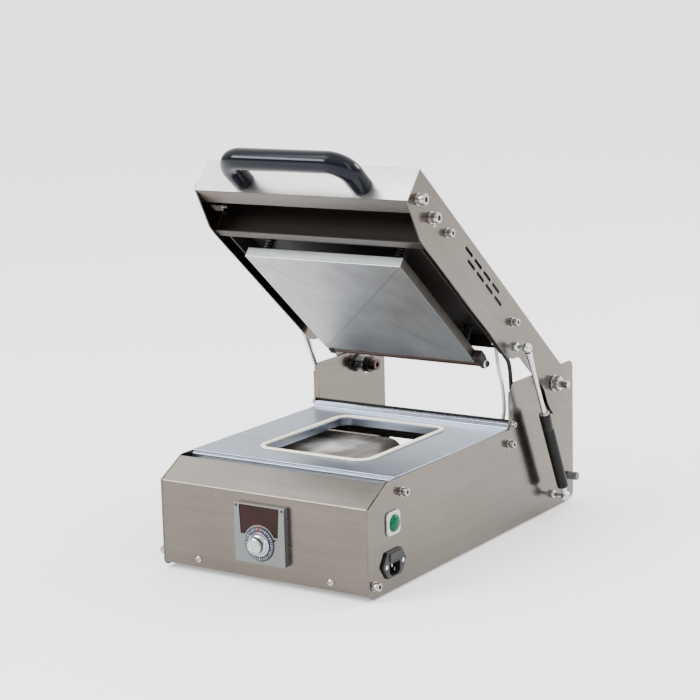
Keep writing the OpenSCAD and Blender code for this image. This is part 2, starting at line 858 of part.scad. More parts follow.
// black frame the heating plate hangs in
module press_frame() {
    color("#222224") difference() {
        union() {
            lid_x(-frame_x, frame_x)
                box_2d(frame_u0, frame_v - frame_t, frame_u1, frame_v);
            for (x = [-frame_x, frame_x - frame_t]) lid_x(x, x + frame_t)
                box_2d(frame_u0, frame_low, frame_u1, frame_v);
            lid_x(-frame_x, frame_x) {
                box_2d(frame_u0, -22, frame_u0 + frame_t, frame_v);
                box_2d(frame_u1 - frame_t, frame_low, frame_u1, frame_v);
            }
            for (x = [-lx0, lx0 - 20], p = m6_at) lid_x(x, x + 20)
                box_2d(p[0] - 10, frame_v - 1, p[0] + 10, p[1] + 8);
        }
        for (p = m6_at) lid_out_both(lx0, p[0], p[1])
            cylinder(r = 3.05, h = 24, center = true);
        for (x = [-stud_x, stud_x], u = stud_u)
            on_lid() translate([x, -u, frame_v])
                cylinder(r = 3 + run_fit, h = 20, center = true);
        for (p = [[cable_hole, cable_r], [sleeve_hole, sleeve_r]])
            on_lid() translate([p[0][0], -frame_u0, p[0][1]])
                rotate([90, 0, 0]) cylinder(r = p[1] + 0.6, h = 8,
                                            center = true);
    }
}

// bow handle on two legs
module handle() {
    r = handle_d / 2;
    bend = 24;
    x = handle_pitch / 2;
    leg = handle_out - bend;
    color("#161618") on_lid() translate([0, -lid_reach, 1.5]) difference() {
        union() {
            for (i = [-1, 1]) {
                translate([i * x, 0, 0]) rotate([90, 0, 0]) {
                    cylinder(r = r - 0.6, h = leg);
                    cylinder(r = r, h = 3);
                    translate([0, 0, 3.6]) cylinder(r = r, h = leg - 3.6);
                }
            }
            translate([x - bend, -leg, 0]) rotate([0, 0, -90])
                rotate_extrude(angle = 90) translate([bend, 0]) circle(r);
            translate([bend - x, -leg, 0]) rotate([0, 0, 180])
                rotate_extrude(angle = 90) translate([bend, 0]) circle(r);
            translate([bend - x, -handle_out, 0]) rotate([0, 90, 0])
                cylinder(r = r, h = 2 * (x - bend));
        }
        for (i = [-1, 1]) translate([i * x, 0, 0]) rotate([90, 0, 0])
            translate([0, 0, -1]) cylinder(r = 4.05, h = 17);
    }
}

module handle_screws() {
    color("#b5b7b9") for (i = [-1, 1]) on_lid()
        translate([i * handle_pitch / 2, sheet_t - lid_reach, 1.5])
            rotate([-90, 0, 0]) cap_screw(8, 1.6, 13, 8, 16);
}

module lid_screws_large() {
    color("#c9cbcd") for (p = m8_at)
        lid_out_both(lx1, p[0], p[1]) cap_screw(8, 4.1, 13, 8, 14);
}

module lid_screws_small() {
    color("#c9cbcd") {
        for (p = m6_at)
            lid_out_both(lx1, p[0], p[1]) cap_screw(6, 2.8, 10, 6, 12);
        lid_out_both(lx1, panel_u + 6, -3.5) {
            dome(3, 1.3);
            translate([0, 0, -5]) cylinder(r = 1.6, h = 5);
        }
    }
}

module lid_nuts() {
    color("#c9cbcd") {
        for (p = m8_at)
            lid_out_both(lx0 - 6.5, p[0], p[1]) hex_nut(13, 6.5, 8.1);
        lid_out_both(lx0 - 5, ball_up[0], ball_up[1]) hex_nut(10, 5, 6.1);
    }
}

module upper_studs() {
    color("#c9cbcd") lid_out_both(lx1, ball_up[0], ball_up[1])
        ball_stud(strut_x - lx1, ball_r + 1.5, 8);
}

// heating plate and what hangs with it
module heating_plate() {
    color("#9aa0a6") lid_x(-heat_w / 2, heat_w / 2)
        box_2d(heat_u0, -heat_v, heat_u1, heat_top);
}

module heater_cover() {
    color("#8d8880") lid_x(29 - heat_w / 2, heat_w / 2 - 29)
        box_2d(heat_u0 + 24, heat_top, heat_u1 - 24, heat_top + 9);
}

module on_studs() {
    for (x = [-stud_x, stud_x], u = stud_u)
        on_lid() translate([x, -u, heat_top]) children();
}

module heater_studs() {
    up = frame_v - heat_top;
    color("#b9bbbd") on_studs() {
        cylinder(r = 3, h = up + 8);
        translate([0, 0, up + 0.2])
            cylinder(d = 10 / cos(30), h = 5, $fn = 6);
    }
}

module heater_springs() {
    color("#a7a9ab") on_studs()
        washer(7.2, 5.2, frame_v - frame_t - heat_top);
}

module rear_rod() {
    color("#4a3a33") lid_x(3 - heat_w / 2, xo - 21.3) difference() {
        disc_at(rod_c, rod_r);
        disc_at(rod_c, 2.6);
    }
}

// right arm outboard of the plate, left lug on its rear edge
module rod_arms() {
    u = rod_c[0];
    v = rod_c[1];
    w = heat_w / 2;
    color("#232325") {
        difference() {
            union() {
                lid_x(w, w + 5) box_2d(u + 9, v - 2, u + 19, v + 9);
                lid_x(w + 5, w + 12) polygon([
                    [u - 5, v + 5], [u - 5, v - 4.6], [u + 5, v - 4.6],
                    [u + 19, v - 2], [u + 19, v + 9], [u + 8, v + 9]
                ]);
            }
            lid_x(-xo, xo) disc_at(rod_c, rod_r + 0.05);
        }
        lid_x(3 - w, 10 - w) difference() {
            box_2d(u - 4.8, v - 4.6, heat_u0, v + 4.6);
            disc_at(rod_c, rod_r + 0.05);
        }
    }
}

module rod_collars() {
    color("#ece9df") lid_x(heat_w / 2 + 12, heat_w / 2 + 14) difference() {
        disc_at(rod_c, 5.2);
        disc_at(rod_c, rod_r + 0.05);
    }
}

// gas struts, drawn along +Z from the lower ball of the right-hand one
module on_strut() {
    base_at(strut_x, ball_lo[0], ball_lo[1])
        rotate([strut_lean, 0, 0]) children();
}

module strut_tube_right() {
    top = strut_foot + tube_l;
    color("#1c1c1e") on_strut() difference() {
        union() {
            sphere(ball_r + 1.5);
            cylinder(r = 3.6, h = strut_foot + 1);
            translate([0, 0, strut_foot]) cylinder(d = tube_d, h = tube_l);
        }
        sphere(ball_r + 0.1);
        rotate([0, -90, 0]) cylinder(r = 3.4, h = 20);
        translate([0, 0, strut_foot + 5])
            cylinder(d = tube_d - 3, h = tube_l - 9);
        translate([0, 0, top - 8]) cylinder(d = rod_d + 2 * run_fit, h = 9);
    }
}

module strut_rod_right() {
    in = strut_foot + tube_l - 18;
    end = strut_len - strut_head;
    color("#b8babc") on_strut() {
        translate([0, 0, in]) cylinder(d = rod_d, h = end - 10 - in);
        translate([0, 0, in]) cylinder(d = tube_d - 3.4, h = 8);
        translate([0, 0, end - 29])
            cylinder(r1 = rod_d / 2 + 0.4, r2 = rod_d / 2 + 1.6, h = 22);
        translate([0, 0, end - 7]) cylinder(r = rod_d / 2 + 1.6, h = 7);
    }
}

module strut_tube_left() { mirror([1, 0, 0]) strut_tube_right(); }
module strut_rod_left() { mirror([1, 0, 0]) strut_rod_right(); }

base_side_right();
base_side_left();
front_panel();
floor_pan();
rear_cover();
crossbar();
plate_ledges();
top_plate();
rear_rail();
rail_trim();
seal_ring();
inner_cover();
feet();
side_screws();
side_nuts();
rail_screws();
front_screws();
thermostat_bezel();
thermostat_window();
thermostat_case();
thermostat_pins();
dial_skirt();
dial_knob();
pilot_body();
pilot_lens();
inlet_body();
inlet_pins();
inlet_screws();
fuse_drawer();
hinge_bolts();
hinge_nuts();
hinge_bushes();
lower_studs();
rear_pegs();
cable_grommets();
terminal_block();
lid_cable();
sensor_tube();
lid_side_right();
lid_side_left();
lid_hood();
cross_panel();
press_frame();
handle();
handle_screws();
lid_screws_large();
lid_screws_small();
lid_nuts();
upper_studs();
heating_plate();
heater_cover();
heater_studs();
heater_springs();
rear_rod();
rod_arms();
rod_collars();
strut_tube_right();
strut_rod_right();
strut_tube_left();
strut_rod_left();
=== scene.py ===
import json
import math

import bmesh
import bpy
from mathutils import Matrix, Vector


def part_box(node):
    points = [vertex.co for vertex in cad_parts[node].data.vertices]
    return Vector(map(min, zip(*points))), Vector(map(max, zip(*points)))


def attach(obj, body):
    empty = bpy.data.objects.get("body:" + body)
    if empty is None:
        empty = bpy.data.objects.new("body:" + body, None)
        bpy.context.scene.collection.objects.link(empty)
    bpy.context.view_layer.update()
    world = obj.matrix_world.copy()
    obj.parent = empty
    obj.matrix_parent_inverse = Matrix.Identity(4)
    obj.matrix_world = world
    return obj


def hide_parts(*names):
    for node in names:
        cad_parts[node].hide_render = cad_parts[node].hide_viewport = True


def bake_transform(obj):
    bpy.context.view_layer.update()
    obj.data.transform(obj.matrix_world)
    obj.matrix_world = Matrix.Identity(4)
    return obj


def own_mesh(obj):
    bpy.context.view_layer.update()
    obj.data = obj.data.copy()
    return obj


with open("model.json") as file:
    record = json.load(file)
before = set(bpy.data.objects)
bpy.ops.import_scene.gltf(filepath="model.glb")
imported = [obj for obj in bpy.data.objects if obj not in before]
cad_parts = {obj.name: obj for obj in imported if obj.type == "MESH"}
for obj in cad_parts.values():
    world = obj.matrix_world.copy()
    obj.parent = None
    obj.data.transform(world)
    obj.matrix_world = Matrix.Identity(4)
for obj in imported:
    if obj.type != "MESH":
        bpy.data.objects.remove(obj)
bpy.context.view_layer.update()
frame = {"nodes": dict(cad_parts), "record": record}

# ---------------------------------------------------------------- base sheets
# Side plates, floor, rear cover and crossbar: 2 mm and 1.5 mm stainless steel,
# laser cut, folded and screwed together, brushed on the outside.


class Value:
    """A socket in a material's tree that takes part in arithmetic."""

    def __init__(self, surface, socket):
        self.surface, self.socket = surface, socket

    def calc(self, operation, *others):
        return self.surface.node("ShaderNodeMath", {"operation": operation}, *others)

    def __add__(self, other):
        return self.calc("ADD", self, other)

    def __radd__(self, other):
        return self.calc("ADD", other, self)

    def __sub__(self, other):
        return self.calc("SUBTRACT", self, other)

    def __rsub__(self, other):
        return self.calc("SUBTRACT", other, self)

    def __mul__(self, other):
        return self.calc("MULTIPLY", self, other)

    def __rmul__(self, other):
        return self.calc("MULTIPLY", other, self)

    def __truediv__(self, other):
        return self.calc("DIVIDE", self, other)

    def __rtruediv__(self, other):
        return self.calc("DIVIDE", other, self)

    def __pow__(self, other):
        return self.calc("POWER", self, other)

    def above(self, limit):
        return self.calc("GREATER_THAN", self, limit)

    def below(self, limit):
        return self.calc("LESS_THAN", self, limit)

    def size(self):
        return self.calc("ABSOLUTE", self)


class Surface:
    """A material with one Principled shader; node() adds any other node."""

    def __init__(self, name, color, roughness, metallic=0.0, **more):
        self.material = bpy.data.materials.new(name)
        self.material.use_nodes = True
        self.tree = self.material.node_tree
        self.shader = self.tree.nodes["Principled BSDF"]
        self.set("Base Color", (*color, 1.0))
        self.set("Roughness", roughness)
        self.set("Metallic", metallic)
        for key, value in more.items():
            self.set(key.replace("_", " "), value)

    def set(self, socket, value):
        if isinstance(value, Value):
            self.tree.links.new(value.socket, self.shader.inputs[socket])
        else:
            self.shader.inputs[socket].default_value = value
        return self

    def node(self, kind, settings=None, *inputs, out=0, **named):
        made = self.tree.nodes.new(kind)
        for key, value in (settings or {}).items():
            if key == "stops":
                ramp = made.color_ramp
                while len(ramp.elements) < len(value):
                    ramp.elements.new(0.5)
                for stop, (place, color) in zip(ramp.elements, value):
                    stop.position, stop.color = place, (*color, 1.0)
            else:
                setattr(made, key, value)
        wanted = list(enumerate(inputs)) + list(named.items())
        for key, value in wanted:
            socket = made.inputs[key]
            if isinstance(value, Value):
                self.tree.links.new(value.socket, socket)
            elif value is not None:
                socket.default_value = value
        return Value(self, made.outputs[out])

    def place(self, scale=(1, 1, 1), turn=0.0, shift=(0, 0, 0)):
        """Object coordinates, turned about X, then scaled and moved."""
        here = self.node("ShaderNodeTexCoord", out="Object")
        if turn:
            here = self.node("ShaderNodeVectorRotate", {"rotation_type": "X_AXIS"},
                             Vector=here, Angle=turn)
        return self.node("ShaderNodeMapping", None, Vector=here, Scale=scale, Location=shift)

    def noise(self, scale, detail=2.0, stretch=(1, 1, 1), turn=0.0):
        return self.node("ShaderNodeTexNoise", None, Vector=self.place(stretch, turn),
                         Scale=scale, Detail=detail)

    def bump(self, height, strength, distance=0.0004):
        bumped = self.node("ShaderNodeBump", None, Height=height, Strength=strength,
                           Distance=distance, out="Normal")
        return self.set("Normal", bumped)

    def mix(self, amount, first, second):
        """Colours first and second, mixed by a Value."""
        made = self.tree.nodes.new("ShaderNodeMix")
        made.data_type = "RGBA"
        for key, value in ((0, amount), (6, first), (7, second)):
            socket = made.inputs[key]
            if isinstance(value, Value):
                self.tree.links.new(value.socket, socket)
            elif isinstance(value, tuple):
                socket.default_value = (*value, 1.0)
            else:
                socket.default_value = value
        return Value(self, made.outputs[2])


def brushed(name, color, roughness, along, grain=0.07, cloud=0.05, turn=0.0, **more):
    """Brushed metal; along is the stretch of its grain on X, Y and Z."""
    m = Surface(name, color, roughness, 1.0, **more)
    fine = m.noise(1.0, 3.0, along, turn)
    broad = m.noise(9.0, 2.0)
    m.set("Roughness", (fine - 0.5) * grain + (broad - 0.5) * cloud + roughness)
    streak = m.noise(1.0, 2.0, tuple(c * 0.16 for c in along), turn)
    tone = (fine - 0.5) * 0.45 + (streak - 0.5) * 0.5 + (broad - 0.5) * 0.6 + 0.5
    dark = tuple(c * 0.72 for c in color)
    light = tuple(min(1.0, c * 1.28) for c in color)
    m.set("Base Color", m.mix(tone, dark, light))
    m.bump(fine, 0.1, 0.0002)
    return m.material


steel_side = brushed("steel_side", (0.125, 0.108, 0.093), 0.17, (400, 30, 900))
steel_cross = brushed("steel_cross", (0.3, 0.275, 0.25), 0.3, (25, 700, 700))
steel_mill = brushed("steel_mill", (0.34, 0.33, 0.32), 0.42, (120, 120, 120))

WELD = 1e-6


def loose_copy(node):
    """A bmesh of a CAD node with its triangles merged back into faces."""
    b = bmesh.new()
    b.from_mesh(frame["nodes"][node].data)
    bmesh.ops.remove_doubles(b, verts=b.verts, dist=WELD)
    return b


def finish_mesh(obj, angle=30):
    obj.data.shade_smooth()
    obj.data.set_sharp_from_angle(angle=math.radians(angle))
    return obj


def plain(obj):
    """Turns an object and its modifiers into one plain mesh object."""
    seen = obj.evaluated_get(bpy.context.evaluated_depsgraph_get())
    mesh = bpy.data.meshes.new_from_object(seen)
    obj.modifiers.clear()
    old, obj.data = obj.data, mesh
    mesh.name = obj.name
    bpy.data.meshes.remove(old)
    return obj


def new_object(name, mesh, material):
    obj = bpy.data.objects.new(name, mesh)
    bpy.context.scene.collection.objects.link(obj)
    obj.data.materials.clear()
    obj.data.materials.append(material)
    return obj


def body_of(node):
    for body, nodes in frame["record"]["behaviour"]["bodies"].items():
        if node in nodes:
            return body
    raise KeyError(node)


def stand_for(obj, *nodes):
    """The piece rides with the CAD nodes it takes the place of."""
    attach(obj, body_of(nodes[0]))
    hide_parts(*nodes)
    return obj


def edged(node, material, width=0.0004, segments=2, angle=30):
    """The CAD node's own shape with its sharp edges broken."""
    b = loose_copy(node)
    bmesh.ops.dissolve_limit(b, angle_limit=math.radians(0.5), verts=b.verts, edges=b.edges)
    mesh = bpy.data.meshes.new(node + "_edged")
    b.to_mesh(mesh)
    b.free()
    obj = finish_mesh(new_object(node + "_edged", mesh, material), angle)
    bevel = obj.modifiers.new("edge", "BEVEL")
    bevel.width, bevel.segments = width, segments
    bevel.limit_method, bevel.angle_limit = "ANGLE", math.radians(angle)
    bevel.harden_normals = True
    return stand_for(plain(obj), node)


for side in ("base_side_right", "base_side_left"):
    edged(side, steel_side, 0.0005)
edged("floor_pan", steel_mill, 0.0003)
edged("rear_cover", steel_mill, 0.0003)
edged("crossbar", steel_cross, 0.0003)
edged("plate_ledges", steel_mill, 0.0003)

# ------------------------------------------------------------ folded fronts
# Front panel of the base and hood of the lid: each one sheet of 1.5 mm steel
# in a press brake, with a bend radius a little over the sheet's thickness.


def fillet(path, radius, steps=6):
    """Rounds the inner corners of an open path of (u, v) points."""
    out = [Vector(path[0])]
    for before, here, after in zip(path, path[1:], path[2:]):
        a, p, c = Vector(before), Vector(here), Vector(after)
        d1, d2 = (a - p).normalized(), (c - p).normalized()
        half = d1.angle(d2) / 2
        reach = min(radius / math.tan(half), (a - p).length * 0.45, (c - p).length * 0.45)
        r = reach * math.tan(half)
        middle = p + (d1 + d2).normalized() * (r / math.sin(half))
        start, end = p + d1 * reach - middle, p + d2 * reach - middle
        turn = start.angle_signed(end)
        for i in range(steps + 1):
            t = -turn * i / steps
            out.append(middle + Vector((start.x * math.cos(t) - start.y * math.sin(t),
                                        start.x * math.sin(t) + start.y * math.cos(t))))
    out.append(Vector(path[-1]))
    return out


def offset(path, distance):
    """The path moved to its left by a distance."""
    out = []
    for i, p in enumerate(path):
        d1 = (p - path[i - 1]).normalized() if i else (path[1] - p).normalized()
        d2 = (path[i + 1] - p).normalized() if i + 1 < len(path) else d1
        n1, n2 = Vector((-d1.y, d1.x)), Vector((-d2.y, d2.x))
        out.append(p + (n1 + n2) * (distance / (1 + n1.dot(n2))))
    return out


def folded(name, path, thick, radius, x0, x1, material, to_world):
    """A sheet along a (u, v) path, thick to its left, from x0 to x1."""
    outer = fillet(path, radius)
    inner = offset(outer, thick)
    edge = 0.00025
    b = bmesh.new()
    rings = []
    for x, inset in ((x0, edge), (x0 + edge, 0), (x1 - edge, 0), (x1, edge)):
        a = offset(outer, inset)
        c = offset(inner, -inset)
        rings.append([b.verts.new(to_world(x, q.x, q.y)) for q in a + c[::-1]])
    n = len(rings[0])
    for r0, r1 in zip(rings, rings[1:]):
        for i in range(n):
            b.faces.new((r0[i], r0[(i + 1) % n], r1[(i + 1) % n], r1[i]))
    half = n // 2
    for ring in (rings[0], rings[-1]):
        for i in range(half - 1):
            b.faces.new((ring[i], ring[i + 1], ring[n - 2 - i], ring[n - 1 - i]))
    bmesh.ops.recalc_face_normals(b, faces=b.faces)
    mesh = bpy.data.meshes.new(name)
    b.to_mesh(mesh)
    b.free()
    return finish_mesh(new_object(name, mesh, material), 25)


SHEET = 0.0015
BEND_Z = 0.1115
ACROSS = (25, 700, 700)
low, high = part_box("front_panel")
nose_y = low.y + 0.042
ledge_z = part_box("top_plate")[0].z
steel_face = brushed("steel_face", (0.12, 0.104, 0.09), 0.27, ACROSS, cloud=0.08)
front_path = [(high.y, ledge_z), (nose_y, ledge_z), (nose_y, high.z),
              (low.y, BEND_Z), (low.y, low.z), (low.y + 0.016, low.z)]
panel = folded("front_panel_sheet", front_path, SHEET, 0.0026, low.x, high.x, steel_face,
               lambda x, y, z: (x, y, z))
stand_for(panel, "front_panel")
# painted light: the nose faces of the same sheet get a steel about twice as light, standing for
# the light they catch from above
steel_nose = brushed("steel_nose", (0.25, 0.232, 0.205), 0.42, ACROSS, cloud=0.12)
panel.data.materials.append(steel_nose)
# the nose's upward, forward faces take the painted light
for face in panel.data.polygons:
    if 0.3 < face.normal.z < 0.95 and face.normal.y < 0:
        face.material_index = 1


def joint(name):
    """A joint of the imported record."""
    return next(j for j in frame["record"]["behaviour"]["joints"] if j["name"] == name)


hinge = Vector(joint("lid_hinge")["pos_m"])
lid_open = math.radians(joint("lid_hinge")["range_deg"][1])
LID_FORWARD = Vector((0, -math.cos(lid_open), math.sin(lid_open)))
LID_UP = Vector((0, math.sin(lid_open), math.cos(lid_open)))


def lid_point(x, u, v):
    """X, distance forward of the hinge and height above it, on the open lid."""
    return Vector((x, hinge.y - u * math.cos(lid_open) + v * math.sin(lid_open),
                   hinge.z + u * math.sin(lid_open) + v * math.cos(lid_open)))


def on_lid(p):
    """A world point as (X, u, v) on the open lid."""
    y, z = p.y - hinge.y, p.z - hinge.z
    return Vector((p.x, -y * math.cos(lid_open) + z * math.sin(lid_open),
                   y * math.sin(lid_open) + z * math.cos(lid_open)))


def corners(points):
    """Lowest and highest corner of a box round some points."""
    return (Vector([min(p[i] for p in points) for i in range(3)]),
            Vector([max(p[i] for p in points) for i in range(3)]))


def lid_box(node):
    """Lowest and highest (X, u, v) of a CAD node of the lid."""
    return corners([on_lid(v.co) for v in frame["nodes"][node].data.vertices])


def beside(obj, node, body=None):
    """The piece rides with a CAD node, but replaces nothing."""
    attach(obj, body or body_of(node))
    return obj


LIP_INSET, LIP_GAP = 0.0022, 0.0014
low, high = lid_box("lid_hood")
# painted light: the hood's outside gets a steel about six times as light as the side plates,
# standing for the light on the lid's top and front; its back lip shares it
steel_hood = brushed("steel_hood", (0.72, 0.71, 0.7), 0.3, (25, 500, 500), cloud=0.08)
# painted shade: the hood's front lip, under the lid's front edge, gets a darker copy of the
# steel
steel_dim = brushed("steel_dim", (0.13, 0.112, 0.098), 0.42, ACROSS)
# painted shade: the hood's inside faces and the cross panel within it get a dark copy of the
# steel
steel_inside = brushed("steel_inside", (0.075, 0.064, 0.056), 0.45, ACROSS, cloud=0.1)
hood = folded("lid_hood_sheet", [(high.y, low.z), (high.y, high.z), (low.y, high.z)],
              SHEET, 0.003, low.x, high.x, steel_hood, lid_point)
front_lip = [(high.y - 0.027, low.z), (high.y - LIP_GAP, low.z)]
back_lip = [(low.y + SHEET, high.z - 0.0085), (low.y + SHEET, high.z - LIP_GAP)]
for name, path, material in (("hood_lip_front", front_lip, steel_dim),
                             ("hood_lip_back", back_lip, steel_hood)):
    beside(folded(name, path, SHEET, 0.001, low.x + LIP_INSET, high.x - LIP_INSET,
                  material, lid_point), "lid_hood")
stand_for(hood, "lid_hood")
# the faces turned back and down into the hood take the painted shade
hood.data.materials.append(steel_inside)
for face in hood.data.polygons:
    if face.normal.dot(-LID_FORWARD - LID_UP) > 0.9:
        face.material_index = 1

# -------------------------------------------------------------- lid sheets
# Side plates with ventilation slots, folded cross panel inside the hood and
# the black-painted press frame the heating plate hangs in, all of sheet steel.
steel_lid = brushed("steel_lid", (0.115, 0.1, 0.085), 0.22, (400, 30, 900), turn=lid_open)
for side in ("lid_side_right", "lid_side_left"):
    edged(side, steel_lid, 0.0004)
# the cross panel takes the painted shade, and its downward faces the darker steel_shaded
wall = edged("cross_panel", steel_inside, 0.0003)
shade = Surface("steel_shaded", (0.05, 0.042, 0.037), 0.5, 1.0)
wall.data.materials.append(shade.material)
for face in wall.data.polygons:
    if face.normal.dot(LID_UP) < -0.9:
        face.material_index = 1
frame_black = Surface("frame_black", (0.016, 0.013, 0.012), 0.5, Specular_IOR_Level=0.2)
frame_black.bump(frame_black.noise(900.0, 2.0), 0.1)
edged("press_frame", frame_black.material, 0.0006)

# ------------------------------------------------------------------ worktop
# 10 mm anodised aluminium plate with a tray opening, an extruded rail along
# its back edge with a rubber strip, and a cream silicone ring round the hole.
STRIP_SHOWN = 0.45
alloy = brushed("worktop_alloy", (0.26, 0.3, 0.37), 0.33, (14, 500, 500), grain=0.12)
edged("top_plate", alloy, 0.0006, 3, 25)
rail_alloy = brushed("rail_alloy", (0.4, 0.44, 0.5), 0.22, (8, 700, 700))
edged("rear_rail", rail_alloy, 0.0005, 3, 25)
rubber = Surface("black_rubber", (0.006, 0.006, 0.007), 0.6, Specular_IOR_Level=0.15)
rubber.bump(rubber.noise(1500.0), 0.1)
trim = edged("rail_trim", rubber.material, 0.0005, 3, 25)
trim_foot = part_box("rail_trim")[0].z
for corner in trim.data.vertices:
    corner.co.z = trim_foot + (corner.co.z - trim_foot) * STRIP_SHOWN
silicone = Surface("cream_silicone", (0.95, 0.93, 0.84), 0.42)
silicone.set("Base Color", silicone.mix(silicone.noise(60.0),
                                        (0.94, 0.9, 0.72), (0.99, 0.96, 0.82)))
edged("seal_ring", silicone.material, 0.0011, 4)

# -------------------------------------------------------------- inside base
# Mill-finish steel cover bent over the wiring, moulded plastic terminal
# block, and rubber feet, pegs and grommets fitted to the sheets.
# painted light: the cover is painted far lighter than the other mill-finish steel, standing for
# light on a sheet that lies in the base's shade; its darker patches follow the noise that dents
# it
cover = Surface("inner_cover", (0.6, 0.59, 0.57), 0.42, 0.5)
crumple = cover.noise(13.0, 3.0)
cover.set("Base Color", cover.mix((crumple - 0.38) * 3.6,
                                  (0.16, 0.14, 0.12), (0.8, 0.785, 0.765)))
cover.bump(crumple, 0.8, 0.006)
edged("inner_cover", cover.material, 0.0003)
block = Surface("terminal_plastic", (0.78, 0.76, 0.7), 0.5)
edged("terminal_block", block.material, 0.0005)
foot = Surface("foot_rubber", (0.02, 0.02, 0.022), 0.7)
edged("feet", foot.material, 0.0006)
edged("cable_grommets", rubber.material, 0.0004)
peg = Surface("peg_rubber", (0.09, 0.09, 0.095), 0.45)
edged("rear_pegs", peg.material, 0.0008, 3)

# ----------------------------------------------------------------- fasteners
# Socket screws with a flat and a spring washer, hex nuts, studs and rivets:
# zinc-plated or stainless steel, bought in.
bright = Surface("bright_zinc", (0.34, 0.33, 0.32), 0.2, 1.0)
bright.set("Roughness", bright.noise(400.0) * 0.12 + 0.14)
chrome = Surface("chrome", (0.5, 0.51, 0.52), 0.08, 1.0)
# painted shade: near-black discs that stand for the shade in the floors of the screw sockets
socket_shade = Surface("socket_dark", (0.03, 0.03, 0.03), 0.5, 0.6)


def islands(node):
    """(lowest corner, highest corner) of each solid of a CAD node."""
    b = loose_copy(node)
    b.verts.ensure_lookup_table()
    seen, out = set(), []
    for v in b.verts:
        if v.index in seen:
            continue
        stack, group = [v], []
        while stack:
            w = stack.pop()
            if w.index in seen:
                continue
            seen.add(w.index)
            group.append(w.co.copy())
            stack.extend(e.other_vert(w) for e in w.link_edges)
        if len(group) > 6:
            out.append(corners(group))
    b.free()
    return out


def lathe(name, rings, material, sides=40):
    """Rings of (radius, height, corners) round +Z; corners 0 is round."""
    b = bmesh.new()
    rows = []
    for ring in rings:
        r, z, corners = (*ring, 0)[:3]
        row = []
        for k in range(sides):
            a = 2 * math.pi * k / sides
            reach = r
            if corners:
                part = math.pi / corners
                reach = r * math.cos(part) / math.cos((a % (2 * part)) - part)
            row.append(b.verts.new((reach * math.cos(a), reach * math.sin(a), z)))
        rows.append(row)
    for one, two in zip(rows, rows[1:]):
        for k in range(sides):
            b.faces.new((one[k], one[(k + 1) % sides], two[(k + 1) % sides], two[k]))
    b.faces.new(rows[0][::-1])
    b.faces.new(rows[-1])
    bmesh.ops.recalc_face_normals(b, faces=b.faces)
    mesh = bpy.data.meshes.new(name)
    b.to_mesh(mesh)
    b.free()
    obj = new_object(name, mesh, material)
    return finish_mesh(obj, 32)


def node_tree(title, **inputs):
    """A geometry tree with named inputs, and a function that adds nodes to it."""
    tree = bpy.data.node_groups.new(title, "GeometryNodeTree")
    tree.interface.new_socket("Geometry", in_out="INPUT", socket_type="NodeSocketGeometry")
    for label, kind in inputs.items():
        tree.interface.new_socket(label, in_out="INPUT", socket_type="NodeSocket" + kind)
    tree.interface.new_socket("Geometry", in_out="OUTPUT", socket_type="NodeSocketGeometry")

    def add(kind, **settings):
        made = tree.nodes.new(kind)
        for key, value in settings.items():
            setattr(made, key, value)
        return made

    return tree, add


def scatter_tree():
    """Copies of a part on points, turned so that its +Z follows each point's out vector."""
    tree, add = node_tree("Parts on points", Part="Object", Material="Material")
    start, end = add("NodeGroupInput"), add("NodeGroupOutput")
    info = add("GeometryNodeObjectInfo", transform_space="ORIGINAL")
    out = add("GeometryNodeInputNamedAttribute", data_type="FLOAT_VECTOR")
    out.inputs["Name"].default_value = "out"
    turn = add("FunctionNodeAlignRotationToVector", axis="Z")
    place = add("GeometryNodeInstanceOnPoints")
    real, fill = add("GeometryNodeRealizeInstances"), add("GeometryNodeSetMaterial")
    link = tree.links.new
    link(start.outputs["Part"], info.inputs["Object"])
    link(out.outputs["Attribute"], turn.inputs["Vector"])
    link(start.outputs["Geometry"], place.inputs["Points"])
    link(info.outputs["Geometry"], place.inputs["Instance"])
    link(turn.outputs["Rotation"], place.inputs["Rotation"])
    link(place.outputs["Instances"], real.inputs["Geometry"])
    link(real.outputs["Geometry"], fill.inputs["Geometry"])
    link(start.outputs["Material"], fill.inputs["Material"])
    link(fill.outputs["Geometry"], end.inputs["Geometry"])
    return tree


def grown(name, mesh, tree, material, **sizes):
    """The plain mesh object that a geometry tree makes of a start mesh."""
    obj = new_object(name, mesh, material)
    mod = obj.modifiers.new(tree.name, "NODES")
    mod.node_group = tree
    for socket in tree.interface.items_tree:
        if socket.in_out == "INPUT" and socket.name != "Geometry":
            mod[socket.identifier] = {**sizes, "Material": material}[socket.name]
    return plain(obj)


SCATTER = scatter_tree()


def scattered(name, part, spots, material):
    """One mesh with the part at each (place, out) spot."""
    mesh = bpy.data.meshes.new(name)
    mesh.from_pydata([p for p, _ in spots], [], [])
    ways = mesh.attributes.new("out", "FLOAT_VECTOR", "POINT")
    for i, (_, way) in enumerate(spots):
        ways.data[i].vector = way
    obj = grown(name, mesh, SCATTER, material, Part=part)
    bpy.data.objects.remove(part)
    return finish_mesh(obj, 32)


def outward(node, root):
    """(place, out) of each solid of a node, root from the middle plane."""
    spots = []
    for lo, hi in islands(node):
        middle = (lo + hi) / 2
        sign = 1 if middle.x > 0 else -1
        spots.append((Vector((sign * root, middle.y, middle.z)), Vector((sign, 0, 0))))
    return spots


